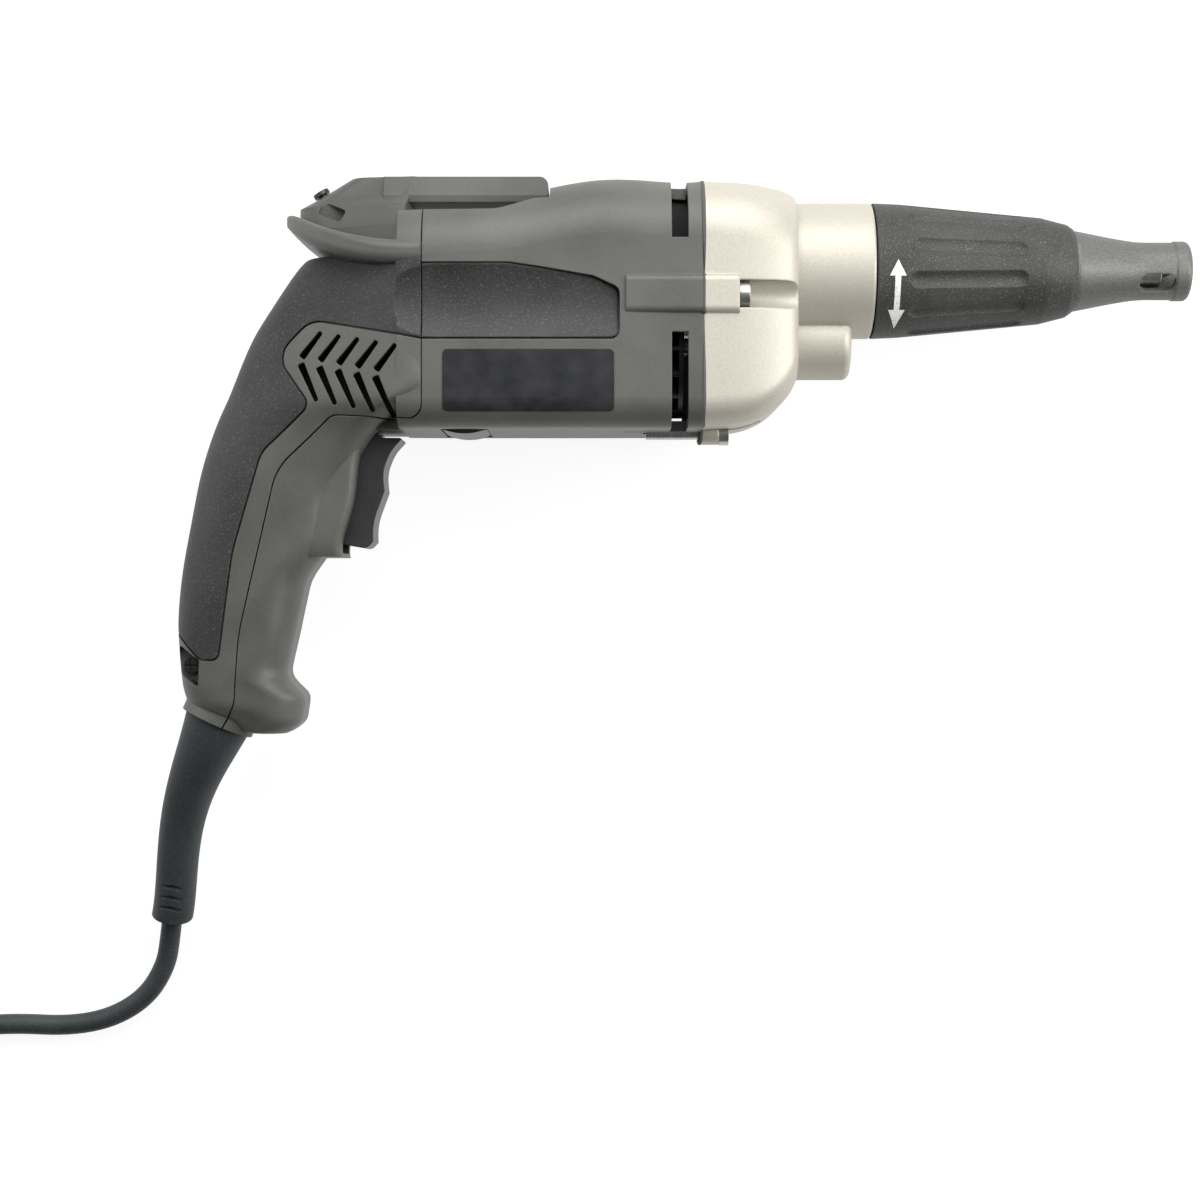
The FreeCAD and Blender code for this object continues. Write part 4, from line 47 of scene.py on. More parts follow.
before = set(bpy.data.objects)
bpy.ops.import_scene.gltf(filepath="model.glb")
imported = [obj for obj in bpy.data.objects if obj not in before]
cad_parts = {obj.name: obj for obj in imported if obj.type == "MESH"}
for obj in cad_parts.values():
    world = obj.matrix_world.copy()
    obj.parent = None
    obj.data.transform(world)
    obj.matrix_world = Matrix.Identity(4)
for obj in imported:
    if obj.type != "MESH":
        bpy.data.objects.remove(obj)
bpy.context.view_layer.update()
MM = 0.001

# The gear case seam on the spindle's axis. Places below are millimetres from it, unless they say otherwise
CASE_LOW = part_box("gear_case")[0]
SPINDLE_LOW, SPINDLE_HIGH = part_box("spindle")
SEAM = Vector((
    CASE_LOW.x,
    (SPINDLE_LOW.y + SPINDLE_HIGH.y) / 2,
    (SPINDLE_LOW.z + SPINDLE_HIGH.z) / 2,
))
BACKWARD = Vector((-1, 0, 0))
DOWN = Vector((0, 0, -1))

# Cord: its radius, its route, how far before the coil it lies in line, and
# the fineness of its mesh round and along
CORD_RADIUS = 3.5
CORD_ROUTE = (
    (-180.11, -217.60, -23.79),
    (-181.51, -226.15, -27.08),
    (-183.41, -235.80, -29.58),
    (-190.11, -246.80, -30.50),
    (-202.11, -254.20, -30.50),
    (-217.11, -257.00, -30.50),
    (-236.11, -256.00, -30.41),
)
LEAD_IN = (84.0, 28.0)
CORD_ROUNDING = 5
CORD_STEPS = 6

# Put-away coil: its middle, the height of its lower layer and the rise to the upper one, the radius of its
# outer turn, the step from turn to turn, the turns of a layer and the points of a turn
COIL_CENTRE = (-336.51, -199.6)
COIL_LOW = -29.35
COIL_LAYER = 7.45
COIL_OUTER = 57.5
COIL_PITCH = 7.5
COIL_TURNS = 4
COIL_POINTS = 16

# Handle's front: the stretch that runs straight, and the joint of the shells behind it
STRAIGHT_TOP = -104.0
STRAIGHT_FOOT = -131.0
SHELL_JOINT = -150.0

# Web between the upper vents: two opposite corners, and its rounded edges
WEB_LOW = (-11.4, 4.6, -0.7)
WEB_HIGH = (-3.2, 25.4, 0.7)
WEB_EDGE = 0.3
WEB_EDGE_STEPS = 2

# Gasket: how far it stands out of the joint, the fineness of its mesh, and how far a point may lie from the
# seam, or from another that counts as the same
GASKET_PROUD = 0.15
GASKET_ROUNDING = 2
FLAT_TOLERANCE = 0.01
SAME_POINT = 0.002

# Springs, each with the body that it rides on and the joint that closes it
SPRINGS = (
    ("clutch_spring", "gear", "bit_push"),
    ("trigger_spring", "tool", "trigger_pull"),
)

# Height above the whole tool, from which the plate and the arrow are laid down
ABOVE = 60.0

# Bare plate: two opposite corners, the radius of its corners, and the cells of its grid
PLATE_LOW = (-83.6, -49.2)
PLATE_HIGH = (-28.8, -29.4)
PLATE_CORNER = 1.6
PLATE_CELLS = (72, 28)

# Double arrow on the sleeve: its middle, its outline in shares of its length along and across, the longest
# edge that stays whole, and the cuts in each longer one
ARROW_MIDDLE = (63.4, -9.6)
ARROW_SHARES = (
    (0.50, 0.00), (0.25, 0.13), (0.25, 0.045), (-0.25, 0.045), (-0.25, 0.13),
    (-0.50, 0.00), (-0.25, -0.13), (-0.25, -0.045), (0.25, -0.045), (0.25, -0.13),
)
ARROW_EDGE = 2.0
ARROW_CUTS = 5

# Camera: straight above the picture's middle, the width that it sees at the spindle, and its reach in metres
CAMERA_POINT = (-33.3, -109.5, 780.3)
PICTURE_WIDTH = 400.0
CAMERA_REACH = 20.0

# Lamps: name, place, width and height in metres, and power in watts, all turned to one point
LAMP_AIM = (-30, -60, 0)
LAMPS = (
    ("top_softbox", (-60, 560, 330), 0.9, 0.35, 2.8),
    ("upper_softbox", (-30, 450, 600), 0.8, 0.5, 5.0),
    ("left_softbox", (-620, 60, 260), 0.3, 0.6, 1.3),
    ("right_softbox", (520, 0, 430), 0.3, 0.6, 4.2),
)

# Surface: its reach from the middle in metres, its grey, and the glow that the camera sees on it
SURFACE_REACH = 4.0
PAPER_GREY = 0.9
GLOW_SHARE = 0.8
GLOW_STRENGTH = 1.12

# Room: the strength of its light, and of the white that the camera sees
ROOM_STRENGTH = 0.13
WHITE_STRENGTH = 1.0

WHITE = (1.0, 1.0, 1.0)
BLACK = (0.0, 0.0, 0.0)

# Tool lines of worked metals: how much of the pattern's fineness is left along each axis
ALONG = (0.04, 1, 1)
AROUND = (1, 0.1, 0.1)
STACKED = (1, 0.02, 0.02)
EVEN = (1, 1, 1)


def at(x, y, z):
    """Point of the row frame from millimetres measured from the seam."""
    return SEAM + Vector((x, y, z)) * MM


def eased(share):
    """Share that starts and ends gently."""
    return share * share * (3 - 2 * share)


def linear(code):
    """Linear colour of an sRGB hex value."""
    values = [int(code[index:index + 2], 16) / 255 for index in (1, 3, 5)]
    return [v / 12.92 if v <= 0.04045 else ((v + 0.055) / 1.055) ** 2.4 for v in values]


def mixed(colour, other, share):
    return [a + (b - a) * share for a, b in zip(colour, other)]


def add_node(tree, kind, settings=None, **inputs):
    """Node with its settings, and its inputs set or linked by socket name or number."""
    made = tree.nodes.new(kind)
    for key, value in (settings or {}).items():
        setattr(made, key, value)
    for key, value in inputs.items():
        numbered = key[0] == "i" and key[1:].isdigit()
        socket = made.inputs[int(key[1:]) if numbered else key.replace("_", " ")]
        if isinstance(value, bpy.types.NodeSocket):
            tree.links.new(value, socket)
        else:
            socket.default_value = value
    return made


def start_material(name):
    """New material with its empty tree and the socket that gives a point's place on the piece."""
    made = bpy.data.materials.new(name)
    made.use_nodes = True
    tree = made.node_tree
    tree.nodes.clear()
    place = add_node(tree, "ShaderNodeTexCoord").outputs["Object"]
    return made, tree, place


def end_material(tree, shader):
    add_node(tree, "ShaderNodeOutputMaterial", Surface=shader.outputs[0])


def two_tone(tree, pattern, colour, darken, lighten, low, high):
    """Paint from a darker to a lighter tone of a colour as a pattern goes from low to high."""
    ramp = add_node(tree, "ShaderNodeValToRGB", Fac=pattern)
    dark, light = ramp.color_ramp.elements
    dark.position = low
    dark.color = (*mixed(colour, BLACK, darken), 1)
    light.position = high
    light.color = (*mixed(colour, WHITE, lighten), 1)
    return ramp.outputs["Color"]


def textured_surface(tree, paint, bumps, strength, depth, gloss, smooth, rough, edge, samples=6, **settings):
    """Ends a material with softened edges, bumps in millimetres and a roughness that follows a pattern."""
    soft = add_node(tree, "ShaderNodeBevel", {"samples": samples}, Radius=edge * MM)
    bump = add_node(tree, "ShaderNodeBump", Strength=strength, Distance=depth * MM, Height=bumps,
                    Normal=soft.outputs["Normal"])
    spread = add_node(tree, "ShaderNodeMapRange", Value=gloss, To_Min=smooth, To_Max=rough)
    shader = add_node(tree, "ShaderNodeBsdfPrincipled", Base_Color=paint, Roughness=spread.outputs[0],
                      Normal=bump.outputs["Normal"], **settings)
    end_material(tree, shader)


def moulded_nylon(name, colour, grain, relief, roughness):
    """Glass-filled nylon from a sparked mould: an even matt grain with faint clouds of tone.

    The real grain is too fine to show, so it is drawn coarser.
    """
    cloud_size = 38 * MM
    grain_share = 0.45
    made, tree, place = start_material(name)
    cloud = add_node(tree, "ShaderNodeTexNoise", Vector=place, Scale=1 / cloud_size, Detail=3.0,
                     Roughness=0.55)
    fine = add_node(tree, "ShaderNodeTexNoise", Vector=place, Scale=1 / (grain * MM), Detail=4.0,
                    Roughness=0.7)
    tone = add_node(tree, "ShaderNodeMath", {"operation": "MULTIPLY_ADD"}, i0=fine.outputs["Fac"],
                    i1=grain_share, i2=cloud.outputs["Fac"])
    paint = two_tone(tree, tone.outputs[0], colour, darken=0.17, lighten=0.035, low=0.48, high=0.98)
    textured_surface(tree, paint, bumps=fine.outputs["Fac"], strength=relief, depth=0.06,
                     gloss=cloud.outputs["Fac"], smooth=roughness - 0.05, rough=roughness + 0.06,
                     edge=0.55, IOR=1.53, Specular_IOR_Level=0.4)
    return made


def soft_rubber(name, colour, grain, glint_share):
    """Thermoplastic rubber moulded over a shell: dark, with a pebbled skin and painted glints, small lighter
    specks that stand in for the lights that the pebbles catch.
    """
    cloud_size = 26 * MM
    glint_scale = 0.8
    glint_lift = 0.30
    made, tree, place = start_material(name)
    pebble = add_node(tree, "ShaderNodeTexVoronoi", Vector=place, Scale=1 / (grain * MM), Randomness=1.0)
    cloud = add_node(tree, "ShaderNodeTexNoise", Vector=place, Scale=1 / cloud_size, Detail=3.0)
    glint_noise = add_node(tree, "ShaderNodeTexNoise", Vector=place, Scale=1 / (grain * glint_scale * MM),
                    Detail=2.0, Roughness=0.8)
    base = two_tone(tree, cloud.outputs["Fac"], colour, darken=0.14, lighten=0.02, low=0.3, high=0.75)
    # Painted glints: specks where the colour is lifted toward white, standing in for lamps caught on the
    # pebbled skin
    light = add_node(tree, "ShaderNodeMapRange", Value=glint_noise.outputs["Fac"], From_Min=0.56, From_Max=0.74,
                     To_Min=0.0, To_Max=glint_share)
    paint = add_node(tree, "ShaderNodeMix", {"data_type": "RGBA"}, i0=light.outputs[0], i6=base,
                     i7=(*mixed(colour, WHITE, glint_lift), 1))
    textured_surface(tree, paint.outputs[2], bumps=pebble.outputs["Distance"], strength=0.35, depth=0.09,
                     gloss=glint_noise.outputs["Fac"], smooth=0.48, rough=0.64,
                     edge=0.6, IOR=1.5, Specular_IOR_Level=0.4)
    return made


def blasted_aluminium(name, colour):
    """Die-cast aluminium, bead blasted, then lacquered or painted: an even tone with a fine sparkle.

    The real grit is too fine to show, so it is drawn coarser.
    """
    grit_size = 0.55 * MM
    cloud_size = 30 * MM
    made, tree, place = start_material(name)
    grit = add_node(tree, "ShaderNodeTexNoise", Vector=place, Scale=1 / grit_size, Detail=3.0,
                    Roughness=0.75)
    cloud = add_node(tree, "ShaderNodeTexNoise", Vector=place, Scale=1 / cloud_size, Detail=2.0)
    paint = two_tone(tree, grit.outputs["Fac"], colour, darken=0.14, lighten=0.10, low=0.3, high=0.72)
    textured_surface(tree, paint, bumps=grit.outputs["Fac"], strength=0.16, depth=0.06,
                     gloss=cloud.outputs["Fac"], smooth=0.46, rough=0.56,
                     edge=0.9, Metallic=0.35)
    return made


def worked_metal(name, colour, stretch, grain, roughness):
    """Turned, drawn or rolled metal: fine tool lines round or along the piece.

    The real lines are too fine to show, so they are drawn coarser.
    """
    made, tree, place = start_material(name)
    squeeze = add_node(tree, "ShaderNodeMapping", Vector=place, Scale=stretch)
    lines = add_node(tree, "ShaderNodeTexNoise", Vector=squeeze.outputs[0], Scale=1 / (grain * MM),
                     Detail=3.0)
    paint = two_tone(tree, lines.outputs["Fac"], colour, darken=0.18, lighten=0.06, low=0.3, high=0.7)
    textured_surface(tree, paint, bumps=lines.outputs["Fac"], strength=0.12, depth=0.04,
                     gloss=lines.outputs["Fac"], smooth=roughness - 0.06, rough=roughness + 0.08,
                     edge=0.25, samples=4, Metallic=1.0)
    return made


def printed_ink(name, colour):
    """Pad-printed ink: a thin opaque film, a little worn where the ground shows through."""
    wear_size = 0.9 * MM
    made, tree, place = start_material(name)
    wear = add_node(tree, "ShaderNodeTexNoise", Vector=place, Scale=1 / wear_size, Detail=4.0, Roughness=0.7)
    paint = two_tone(tree, wear.outputs["Fac"], colour, darken=0.42, lighten=0, low=0.34, high=0.47)
    shader = add_node(tree, "ShaderNodeBsdfPrincipled", Base_Color=paint, Roughness=0.55)
    end_material(tree, shader)
    return made


def film_plate(name, colour):
    """Printed polyester film: smooth and a little glossy, with a faint orange-peel wave."""
    wave_size = 6 * MM
    wave_depth = 0.05 * MM
    made, tree, place = start_material(name)
    wave = add_node(tree, "ShaderNodeTexNoise", Vector=place, Scale=1 / wave_size, Detail=2.0)
    paint = two_tone(tree, wave.outputs["Fac"], colour, darken=0.1, lighten=0.015, low=0.3, high=0.7)
    bump = add_node(tree, "ShaderNodeBump", Strength=0.08, Distance=wave_depth, Height=wave.outputs["Fac"])
    shader = add_node(tree, "ShaderNodeBsdfPrincipled", Base_Color=paint, Roughness=0.34,
                      Normal=bump.outputs["Normal"])
    end_material(tree, shader)
    return made


def white_paper(name):
    """Matt white paper: seen by the camera and in gloss it glows to white, and it keeps the tool's shadow."""
    made, tree, _ = start_material(name)
    path = add_node(tree, "ShaderNodeLightPath")
    first = add_node(tree, "ShaderNodeMath", {"operation": "MAXIMUM"}, i0=path.outputs["Is Camera Ray"],
                     i1=path.outputs["Is Glossy Ray"])
    seen = add_node(tree, "ShaderNodeMath", {"operation": "MAXIMUM"}, i0=first.outputs[0],
                    i1=path.outputs["Is Transmission Ray"])
    share = add_node(tree, "ShaderNodeMath", {"operation": "MULTIPLY"}, i0=seen.outputs[0], i1=GLOW_SHARE)
    paper = add_node(tree, "ShaderNodeBsdfDiffuse", Color=(PAPER_GREY, PAPER_GREY, PAPER_GREY, 1))
    glow = add_node(tree, "ShaderNodeEmission", Color=(*WHITE, 1), Strength=GLOW_STRENGTH)
    shader = add_node(tree, "ShaderNodeMixShader", i0=share.outputs[0], i1=paper.outputs[0],
                      i2=glow.outputs[0])
    end_material(tree, shader)
    return made


def studio_world(name):
    """Room that lights the tool a little from all round, and that the camera sees as white."""
    world = bpy.data.worlds.new(name)
    world.use_nodes = True
    tree = world.node_tree
    tree.nodes.clear()
    path = add_node(tree, "ShaderNodeLightPath")
    room = add_node(tree, "ShaderNodeBackground", Color=(*WHITE, 1), Strength=ROOM_STRENGTH)
    white = add_node(tree, "ShaderNodeBackground", Color=(*WHITE, 1), Strength=WHITE_STRENGTH)
    seen = add_node(tree, "ShaderNodeMath", {"operation": "MAXIMUM"}, i0=path.outputs["Is Camera Ray"],
                    i1=path.outputs["Is Transmission Ray"])
    blend = add_node(tree, "ShaderNodeMixShader", i0=seen.outputs[0], i1=room.outputs[0],
                     i2=white.outputs[0])
    add_node(tree, "ShaderNodeOutputWorld", Surface=blend.outputs[0])
    return world


# What every colour below has in common
COLOUR = {"subtype": "COLOR", "size": 3, "min": 0, "max": 1}


class ScrewdriverColours(bpy.types.PropertyGroup):
    """Colours of the outside pieces."""
    housing: bpy.props.FloatVectorProperty(
        name="Housing", description="Barrel and handle shells", default=linear("#51514c"), **COLOUR)
    grip: bpy.props.FloatVectorProperty(
        name="Grip", description="Soft grip and side pads", default=linear("#212222"), **COLOUR)
    hook: bpy.props.FloatVectorProperty(
        name="Hook", description="Belt hook", default=linear("#444441"), **COLOUR)
    case: bpy.props.FloatVectorProperty(
        name="Gear case", description="Cast gear case", default=linear("#bbb6a8"), **COLOUR)
    sleeve: bpy.props.FloatVectorProperty(
        name="Sleeve", description="Depth sleeve", default=linear("#32322f"), **COLOUR)
    nose: bpy.props.FloatVectorProperty(
        name="Nose", description="Nosepiece", default=linear("#585753"), **COLOUR)
    cord: bpy.props.FloatVectorProperty(
        name="Cord", description="Cord and strain relief", default=linear("#2c3335"), **COLOUR)


class ScrewdriverSizes(bpy.types.PropertyGroup):
    """Sizes of what is laid on the CAD pieces."""
    plate_thickness: bpy.props.FloatProperty(
        name="Plate thickness", description="Bare plate on the barrel's side", default=0.25 * MM,
        unit="LENGTH")
    arrow_length: bpy.props.FloatProperty(
        name="Arrow length", description="Double arrow round the sleeve", default=21 * MM, unit="LENGTH")
    gasket_thickness: bpy.props.FloatProperty(
        name="Gasket thickness", description="Gasket behind the gear case", default=1.7 * MM, unit="LENGTH")
    ink_thickness: bpy.props.FloatProperty(
        name="Ink thickness", description="Printed marks", default=0.08 * MM, unit="LENGTH")


def new_object(name, data):
    made = bpy.data.objects.new(name, data)
    bpy.context.scene.collection.objects.link(made)
    return made


def filled_object(name, fill, material):
    """Object whose mesh a function fills."""
    mesh = bpy.data.meshes.new(name)
    form = bmesh.new()
    fill(form)
    form.to_mesh(mesh)
    form.free()
    mesh.materials.append(material)
    return new_object(name, mesh)


def round_line(name, kind, points, radius, rounding, material):
    """Curve with a round section through points or control points, and its one spline."""
    curve = bpy.data.curves.new(name, "CURVE")
    curve.dimensions = "3D"
    curve.bevel_depth = radius
    curve.bevel_resolution = rounding
    curve.materials.append(bpy.data.materials[material])
    line = curve.splines.new(kind)
    line.points.add(len(points) - 1)
    for place, point in zip(line.points, points):
        place.co = (*point, 1)
    return new_object(name, curve), line


def skin_of(mesh):
    """Tree of a mesh's faces, for casting rays."""
    return BVHTree.FromPolygons([v.co for v in mesh.vertices], [p.vertices for p in mesh.polygons])


def laid_on(form, node, lift):
    """Drops every point of a form until it lies on a node, then lifts it."""
    skin = skin_of(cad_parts[node].data)
    for vert in form.verts:
        hit = skin.ray_cast(vert.co, DOWN)[0]
        if hit is None:
            raise RuntimeError("nothing of %s lies below a point of the mark" % node)
        vert.co = hit - DOWN * lift


def rear_rim(mesh):
    """Points in order round the outer edge of the face that a mesh has at the seam."""
    form = bmesh.new()
    form.from_mesh(mesh)
    bmesh.ops.remove_doubles(form, verts=form.verts[:], dist=SAME_POINT * MM)
    near = FLAT_TOLERANCE * MM
    flat = {face for face in form.faces if all(abs(v.co.x - SEAM.x) < near for v in face.verts)}
    neighbours = {}
    for edge in form.edges:
        if sum(face in flat for face in edge.link_faces) == 1:
            for vert in edge.verts:
                neighbours.setdefault(vert, []).append(edge.other_vert(vert))
    start = max(neighbours, key=lambda vert: vert.co.y)
    loop = [start]
    following = neighbours[start][0]
    while following is not start:
        loop.append(following)
        following = next(vert for vert in neighbours[following] if vert is not loop[-2])
    points = [vert.co.copy() for vert in loop]
    form.free()
    return points


def coil_points():
    """Control points of the coil: turns that wind in, half a turn that climbs, and turns that wind out."""
    steps = COIL_POINTS * COIL_TURNS
    half = COIL_POINTS // 2
    inner = COIL_OUTER - COIL_PITCH * COIL_TURNS
    # Control points stand a little outside the turns that they draw
    spread = 2 / (1 + math.cos(math.pi / COIL_POINTS))
    points = []
    for step in range(2 * steps + half + 1):
        turn = -math.pi / 2 - 2 * math.pi * step / COIL_POINTS
        radius = COIL_OUTER - COIL_PITCH * step / COIL_POINTS
        rise = 0.0
        if step > steps + half:
            radius = inner + COIL_PITCH * (step - steps - half) / COIL_POINTS
            rise = COIL_LAYER
        elif step > steps:
            climb = (step - steps) / half
            radius = inner - COIL_PITCH / 2 * climb * (1 - climb)
            rise = COIL_LAYER * eased(climb)
        points.append(at(
            COIL_CENTRE[0] + radius * spread * math.cos(turn),
            COIL_CENTRE[1] + radius * spread * math.sin(turn),
            COIL_LOW + rise,
        ))
    return points


class SCREWDRIVER_OT_finishes(bpy.types.Operator):
    """Gives each CAD piece its finish"""
    bl_idname = "screwdriver.finishes"
    bl_label = "Finishes"

    def execute(self, context):
        colours = context.scene.screwdriver_colours
        groups = (
            (moulded_nylon("sparked_nylon_housing", colours.housing, grain=0.9, relief=0.5, roughness=0.46),
             ("motor_housing", "handle_cover")),
            (soft_rubber("pebbled_rubber_grip", colours.grip, grain=0.7, glint_share=0.3),
             ("rear_grip", "side_grips")),
            (moulded_nylon("sparked_nylon_hook", colours.hook, grain=0.9, relief=0.5, roughness=0.44),
             ("belt_hook",)),
            (blasted_aluminium("blasted_cast_aluminium", colours.case),
             ("gear_case", "bearing_plate")),
            (soft_rubber("pebbled_rubber_sleeve", colours.sleeve, grain=0.7, glint_share=0.45),
             ("depth_sleeve",)),
            (blasted_aluminium("painted_cast_nose", colours.nose),
             ("nosepiece",)),
            (moulded_nylon("polished_nylon_trigger", linear("#0f1115"), grain=1.2, relief=0.12,
                           roughness=0.4),
             ("trigger", "lock_button", "reversing_bar")),
            (moulded_nylon("moulded_nylon_black", linear("#1d1e20"), grain=0.8, relief=0.3, roughness=0.42),
             ("air_guide", "fan_baffle", "cooling_fan", "switch_body", "cord_clamp", "cord_tie")),
            (worked_metal("zinc_plated_steel", linear("#b9b9b4"), AROUND, grain=0.5, roughness=0.34),
             ("gear_case_screws", "clamp_screws", "bit_holder")),
            (worked_metal("black_oxide_steel", linear("#3a3a3c"), AROUND, grain=0.5, roughness=0.4),
             ("hook_screw", "cover_screw")),
            (worked_metal("drawn_spring_steel", linear("#9a9c9e"), ALONG, grain=0.4, roughness=0.3),
             ("brush_springs", "clutch_spring", "trigger_spring", "sleeve_ring")),
            (worked_metal("ground_bearing_steel", linear("#c4c5c8"), AROUND, grain=0.4, roughness=0.22),
             ("front_bearing", "rear_bearing", "armature_shaft", "thrust_washer")),
            (worked_metal("hardened_gear_steel", linear("#7d7e80"), AROUND, grain=0.5, roughness=0.36),
             ("drive_gear", "spindle", "screw_bit")),
            (worked_metal("sintered_bronze", linear("#a5814f"), EVEN, grain=0.4, roughness=0.48),
             ("plate_bush", "spindle_bush", "pinion_bush")),
            (worked_metal("lacquered_copper_wire", linear("#b06a3b"), ALONG, grain=0.6, roughness=0.38),
             ("field_coils", "armature_windings", "commutator")),
            (worked_metal("stacked_electrical_sheet", linear("#6c6d6f"), STACKED, grain=0.5, roughness=0.45),
             ("field_stack", "armature_core")),
            (worked_metal("nickel_plated_brass", linear("#c8b98c"), ALONG, grain=0.6, roughness=0.28),
             ("plug_blades", "brush_holders")),
            (soft_rubber("moulded_cord_rubber", colours.cord, grain=1.1, glint_share=0.12),
             ("strain_relief", "cord_lead")),
            (soft_rubber("plug_rubber", linear("#262829"), grain=1.0, glint_share=0.15),
             ("plug_body",)),
            (soft_rubber("seal_rubber", linear("#161616"), grain=0.8, glint_share=0.05),
             ("spindle_seal",)),
            (moulded_nylon("pressed_carbon", linear("#2a2a2a"), grain=0.5, relief=0.3, roughness=0.6),
             ("carbon_brushes",)),
        )
        for material, names in groups:
            for name in names:
                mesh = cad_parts[name].data
                mesh.materials.clear()
                mesh.materials.append(material)
        return {"FINISHED"}


class SCREWDRIVER_OT_handle(bpy.types.Operator):
    """Draws in the slight swell of the handle's front, so its edge runs straight down to the toe"""
    bl_idname = "screwdriver.handle"
    bl_label = "Handle front"

    def execute(self, context):
        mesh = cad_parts["motor_housing"].data.copy()
        mesh.name = "housing_shell"
        skin = skin_of(mesh)

        def front(height):
            return skin.ray_cast(Vector((SEAM.x, height, SEAM.z)), BACKWARD)[0].x

        joint = at(SHELL_JOINT, 0, 0).x
        top = at(0, STRAIGHT_TOP, 0).y
        foot = at(0, STRAIGHT_FOOT, 0).y
        ends = front(top), front(foot)
        # The joint stays where it is, and points move more the nearer they are to the front edge
        for vert in mesh.vertices:
            share = (vert.co.y - top) / (foot - top)
            if 0 < share < 1 and vert.co.x > joint:
                edge = front(vert.co.y)
                depth = min(1, (vert.co.x - joint) / (edge - joint))
                straight = ends[0] + (ends[1] - ends[0]) * share
                vert.co.x += (straight - edge) * eased(depth)
        shell = new_object("housing_shell", mesh)
        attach(shell, "tool")
        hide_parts("motor_housing")
        return {"FINISHED"}


class SCREWDRIVER_OT_vent_web(bpy.types.Operator):
    """Sets the moulded web between the two upper vents, which keeps light from passing through; its black is
    partly painted shade for the dark inside of the vents
    """
    bl_idname = "screwdriver.vent_web"
    bl_label = "Vent web"

    def execute(self, context):
        low = at(*WEB_LOW)
        high = at(*WEB_HIGH)

        def fill(form):
            bmesh.ops.create_cube(form, size=1)
            for vert in form.verts:
                for axis in range(3):
                    vert.co[axis] = low[axis] if vert.co[axis] < 0 else high[axis]
            bmesh.ops.bevel(form, geom=form.edges[:], offset=WEB_EDGE * MM, segments=WEB_EDGE_STEPS,
                            affect="EDGES", profile=0.5)

        # The web's black nylon also stands in as painted shade for the dark inside of the vents
        web = filled_object("vent_web", fill, bpy.data.materials["moulded_nylon_black"])
        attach(web, "tool")
        return {"FINISHED"}


class SCREWDRIVER_OT_springs(bpy.types.Operator):
    """Puts the clutch and trigger springs on meshes of their own, on the bodies that they ride on"""
    bl_idname = "screwdriver.springs"
    bl_label = "Springs"

    def execute(self, context):
        for node, body, joint in SPRINGS:
            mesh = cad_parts[node].data.copy()
            coil = new_object(node + "_coil", mesh)
            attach(coil, body)
            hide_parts(node)
            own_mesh(coil)
        return {"FINISHED"}


class SCREWDRIVER_OT_gasket(bpy.types.Operator):
    """Lays the dark gasket along the joint of gear case and barrel; its near-black line is partly painted
    shade for the shadow in the joint
    """
    bl_idname = "screwdriver.gasket"
    bl_label = "Gasket"

    def execute(self, context):
        radius = context.scene.screwdriver_sizes.gasket_thickness / 2
        inset = radius - GASKET_PROUD * MM
        rim = rear_rim(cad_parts["gear_case"].data)
        centre = sum(rim, Vector()) / len(rim)
        points = [point + (centre - point).normalized() * inset for point in rim]
        # The gasket's near-black rubber also serves as painted shade along the joint
        gasket, line = round_line("case_gasket", "POLY", points, radius, GASKET_ROUNDING, "seal_rubber")
        line.use_cyclic_u = True
        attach(gasket, "tool")
        return {"FINISHED"}


class SCREWDRIVER_OT_cord(bpy.types.Operator):
    """Lays the free cord and its put-away coil as one smooth line"""
    bl_idname = "screwdriver.cord"
    bl_label = "Cord"

    def execute(self, context):
        points = [at(*point) for point in CORD_ROUTE]
        start = at(COIL_CENTRE[0], COIL_CENTRE[1] - COIL_OUTER, COIL_LOW)
        points += [start + Vector((reach * MM, 0, 0)) for reach in LEAD_IN]
        points += coil_points()
        plug_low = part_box("plug_body")[0]
        end = Vector((plug_low.x, points[-1].y, points[-1].z))
        points += [(points[-1] + end) / 2, end]
        cord, line = round_line("flexible_cord", "NURBS", points, CORD_RADIUS * MM, CORD_ROUNDING,
                                "moulded_cord_rubber")
        line.order_u = 3
        line.use_endpoint_u = True
        line.resolution_u = CORD_STEPS
        cord.data.use_fill_caps = True
        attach(cord, "tool")
        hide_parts("power_cord", "cord_coil")
        return {"FINISHED"}


class SCREWDRIVER_OT_plate(bpy.types.Operator):
    """Lays a bare film plate on the barrel's side"""
    bl_idname = "screwdriver.plate"
    bl_label = "Bare plate"

    def execute(self, context):
        thickness = context.scene.screwdriver_sizes.plate_thickness
        low = at(*PLATE_LOW, ABOVE)
        high = at(*PLATE_HIGH, ABOVE)
        corner = PLATE_CORNER * MM

        def fill(form):
            across, up = (high.xy - low.xy) / 2
            bmesh.ops.create_grid(form, x_segments=PLATE_CELLS[0], y_segments=PLATE_CELLS[1], size=1)
            for vert in form.verts:
                x, y = vert.co.x * across, vert.co.y * up
                over = Vector((max(0, abs(x) - across + corner), max(0, abs(y) - up + corner)))
                # A point past the arc of a corner is drawn back to it
                if over.length > corner:
                    over *= 1 - corner / over.length
                    x -= math.copysign(over.x, x)
                    y -= math.copysign(over.y, y)
                vert.co = (low.x + across + x, low.y + up + y, high.z)
            laid_on(form, "motor_housing", thickness)

        plate = filled_object("bare_plate", fill, film_plate("printed_polyester_film", linear("#191a1e")))
        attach(plate, "tool")
        return {"FINISHED"}


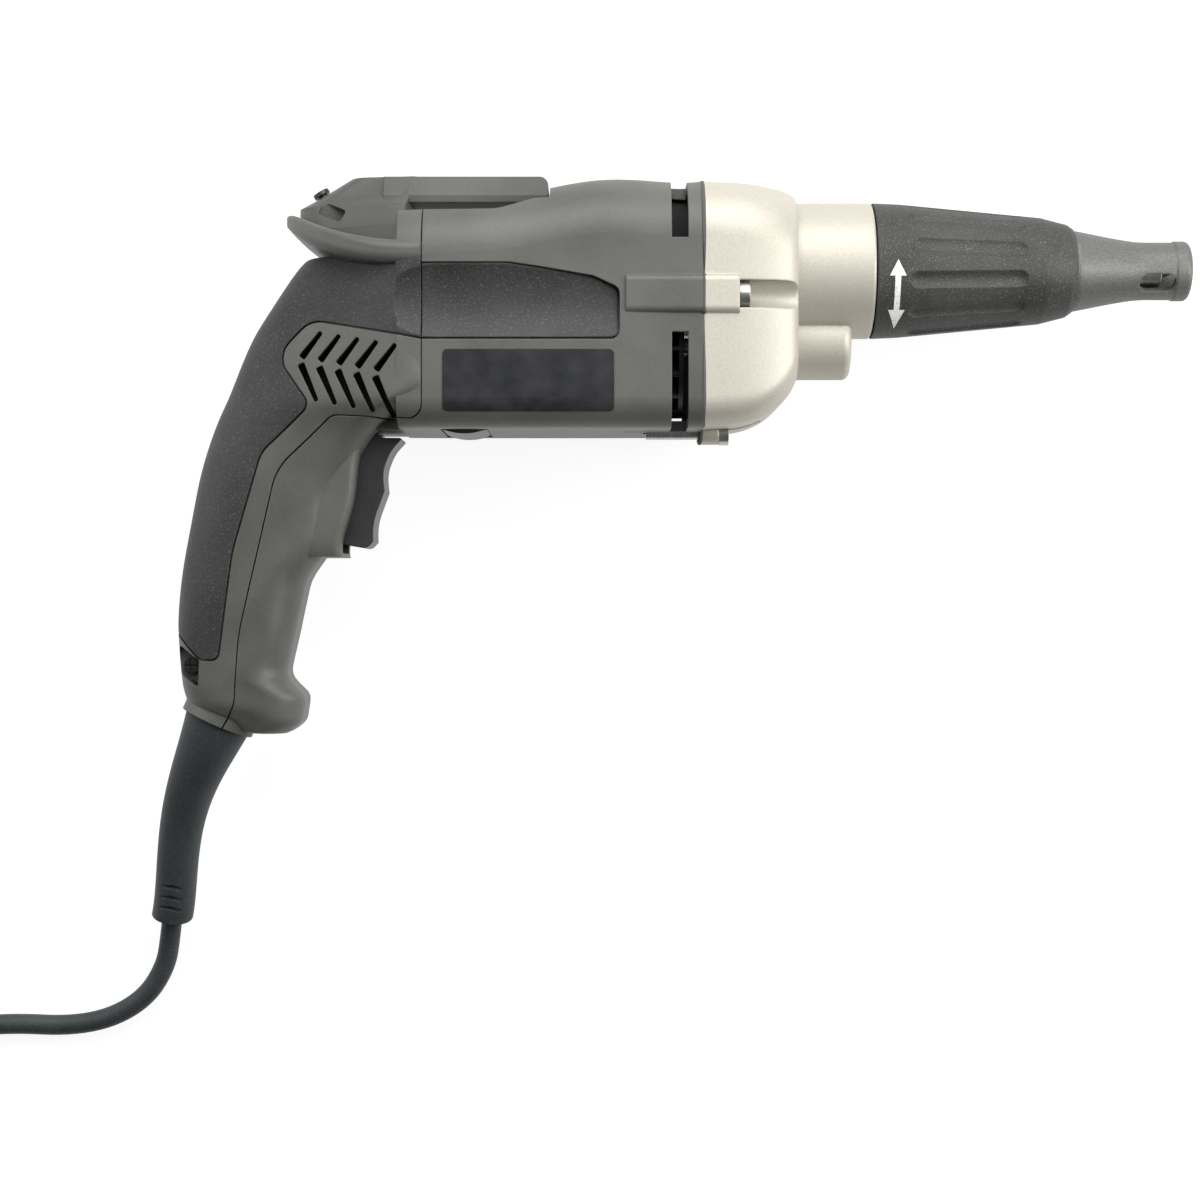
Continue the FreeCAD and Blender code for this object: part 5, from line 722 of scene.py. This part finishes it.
class SCREWDRIVER_OT_marks(bpy.types.Operator):
    """Prints the double arrow on the depth sleeve"""
    bl_idname = "screwdriver.marks"
    bl_label = "Printed marks"

    def execute(self, context):
        sizes = context.scene.screwdriver_sizes
        middle = at(*ARROW_MIDDLE, ABOVE)

        def fill(form):
            verts = []
            for along, across in ARROW_SHARES:
                offset = Vector((across, along, 0)) * sizes.arrow_length
                verts.append(form.verts.new(middle + offset))
            form.faces.new(verts)
            bmesh.ops.triangulate(form, faces=form.faces[:])
            long_edges = [edge for edge in form.edges if edge.calc_length() > ARROW_EDGE * MM]
            bmesh.ops.subdivide_edges(form, edges=long_edges, cuts=ARROW_CUTS)
            laid_on(form, "depth_sleeve", sizes.ink_thickness)

        arrow = filled_object("sleeve_arrow", fill, printed_ink("pad_printed_white_ink", linear("#e9e9e4")))
        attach(arrow, "sleeve")
        return {"FINISHED"}


class SCREWDRIVER_OT_stage(bpy.types.Operator):
    """Sets the white surface, the soft studio lights and the camera"""
    bl_idname = "screwdriver.stage"
    bl_label = "Stage"

    def execute(self, context):
        scene = context.scene
        scene.view_settings.view_transform = "Standard"
        scene.world = studio_world("studio")

        def fill(form):
            bmesh.ops.create_grid(form, x_segments=1, y_segments=1, size=SURFACE_REACH)

        filled_object("surface", fill, white_paper("white_paper_surface"))

        for name, place, width, height, power in LAMPS:
            lamp = bpy.data.lights.new(name, "AREA")
            lamp.shape = "RECTANGLE"
            lamp.size = width
            lamp.size_y = height
            lamp.energy = power
            light = new_object(name, lamp)
            light.location = at(*place)
            light.rotation_euler = (at(*LAMP_AIM) - light.location).to_track_quat("-Z", "Y").to_euler()

        lens = bpy.data.cameras.new("overhead_camera")
        lens.sensor_fit = "HORIZONTAL"
        lens.angle = 2 * math.atan(PICTURE_WIDTH / 2 / CAMERA_POINT[2])
        lens.clip_end = CAMERA_REACH
        camera = new_object("overhead_camera", lens)
        camera.location = at(*CAMERA_POINT)
        scene.camera = camera
        return {"FINISHED"}


STEPS = (
    SCREWDRIVER_OT_finishes,
    SCREWDRIVER_OT_handle,
    SCREWDRIVER_OT_vent_web,
    SCREWDRIVER_OT_springs,
    SCREWDRIVER_OT_gasket,
    SCREWDRIVER_OT_cord,
    SCREWDRIVER_OT_plate,
    SCREWDRIVER_OT_marks,
    SCREWDRIVER_OT_stage,
)


class SCREWDRIVER_PT_panel(bpy.types.Panel):
    """Lists the steps that dress the screwdriver"""
    bl_label = "Drywall screwdriver"
    bl_idname = "SCREWDRIVER_PT_panel"
    bl_space_type = "VIEW_3D"
    bl_region_type = "UI"
    bl_category = "Screwdriver"

    def draw(self, context):
        for group in (context.scene.screwdriver_colours, context.scene.screwdriver_sizes):
            for name in group.__annotations__:
                self.layout.prop(group, name)
        for step in STEPS:
            self.layout.operator(step.bl_idname)


CLASSES = (ScrewdriverColours, ScrewdriverSizes, *STEPS, SCREWDRIVER_PT_panel)


def register():
    for kind in CLASSES:
        bpy.utils.register_class(kind)
    bpy.types.Scene.screwdriver_colours = bpy.props.PointerProperty(type=ScrewdriverColours)
    bpy.types.Scene.screwdriver_sizes = bpy.props.PointerProperty(type=ScrewdriverSizes)


def unregister():
    del bpy.types.Scene.screwdriver_sizes
    del bpy.types.Scene.screwdriver_colours
    for kind in reversed(CLASSES):
        bpy.utils.unregister_class(kind)


def main():
    register()
    bpy.ops.screwdriver.finishes()
    bpy.ops.screwdriver.handle()
    bpy.ops.screwdriver.vent_web()
    bpy.ops.screwdriver.springs()
    bpy.ops.screwdriver.gasket()
    bpy.ops.screwdriver.cord()
    bpy.ops.screwdriver.plate()
    bpy.ops.screwdriver.marks()
    bpy.ops.screwdriver.stage()


if __name__ == "__main__":
    main()
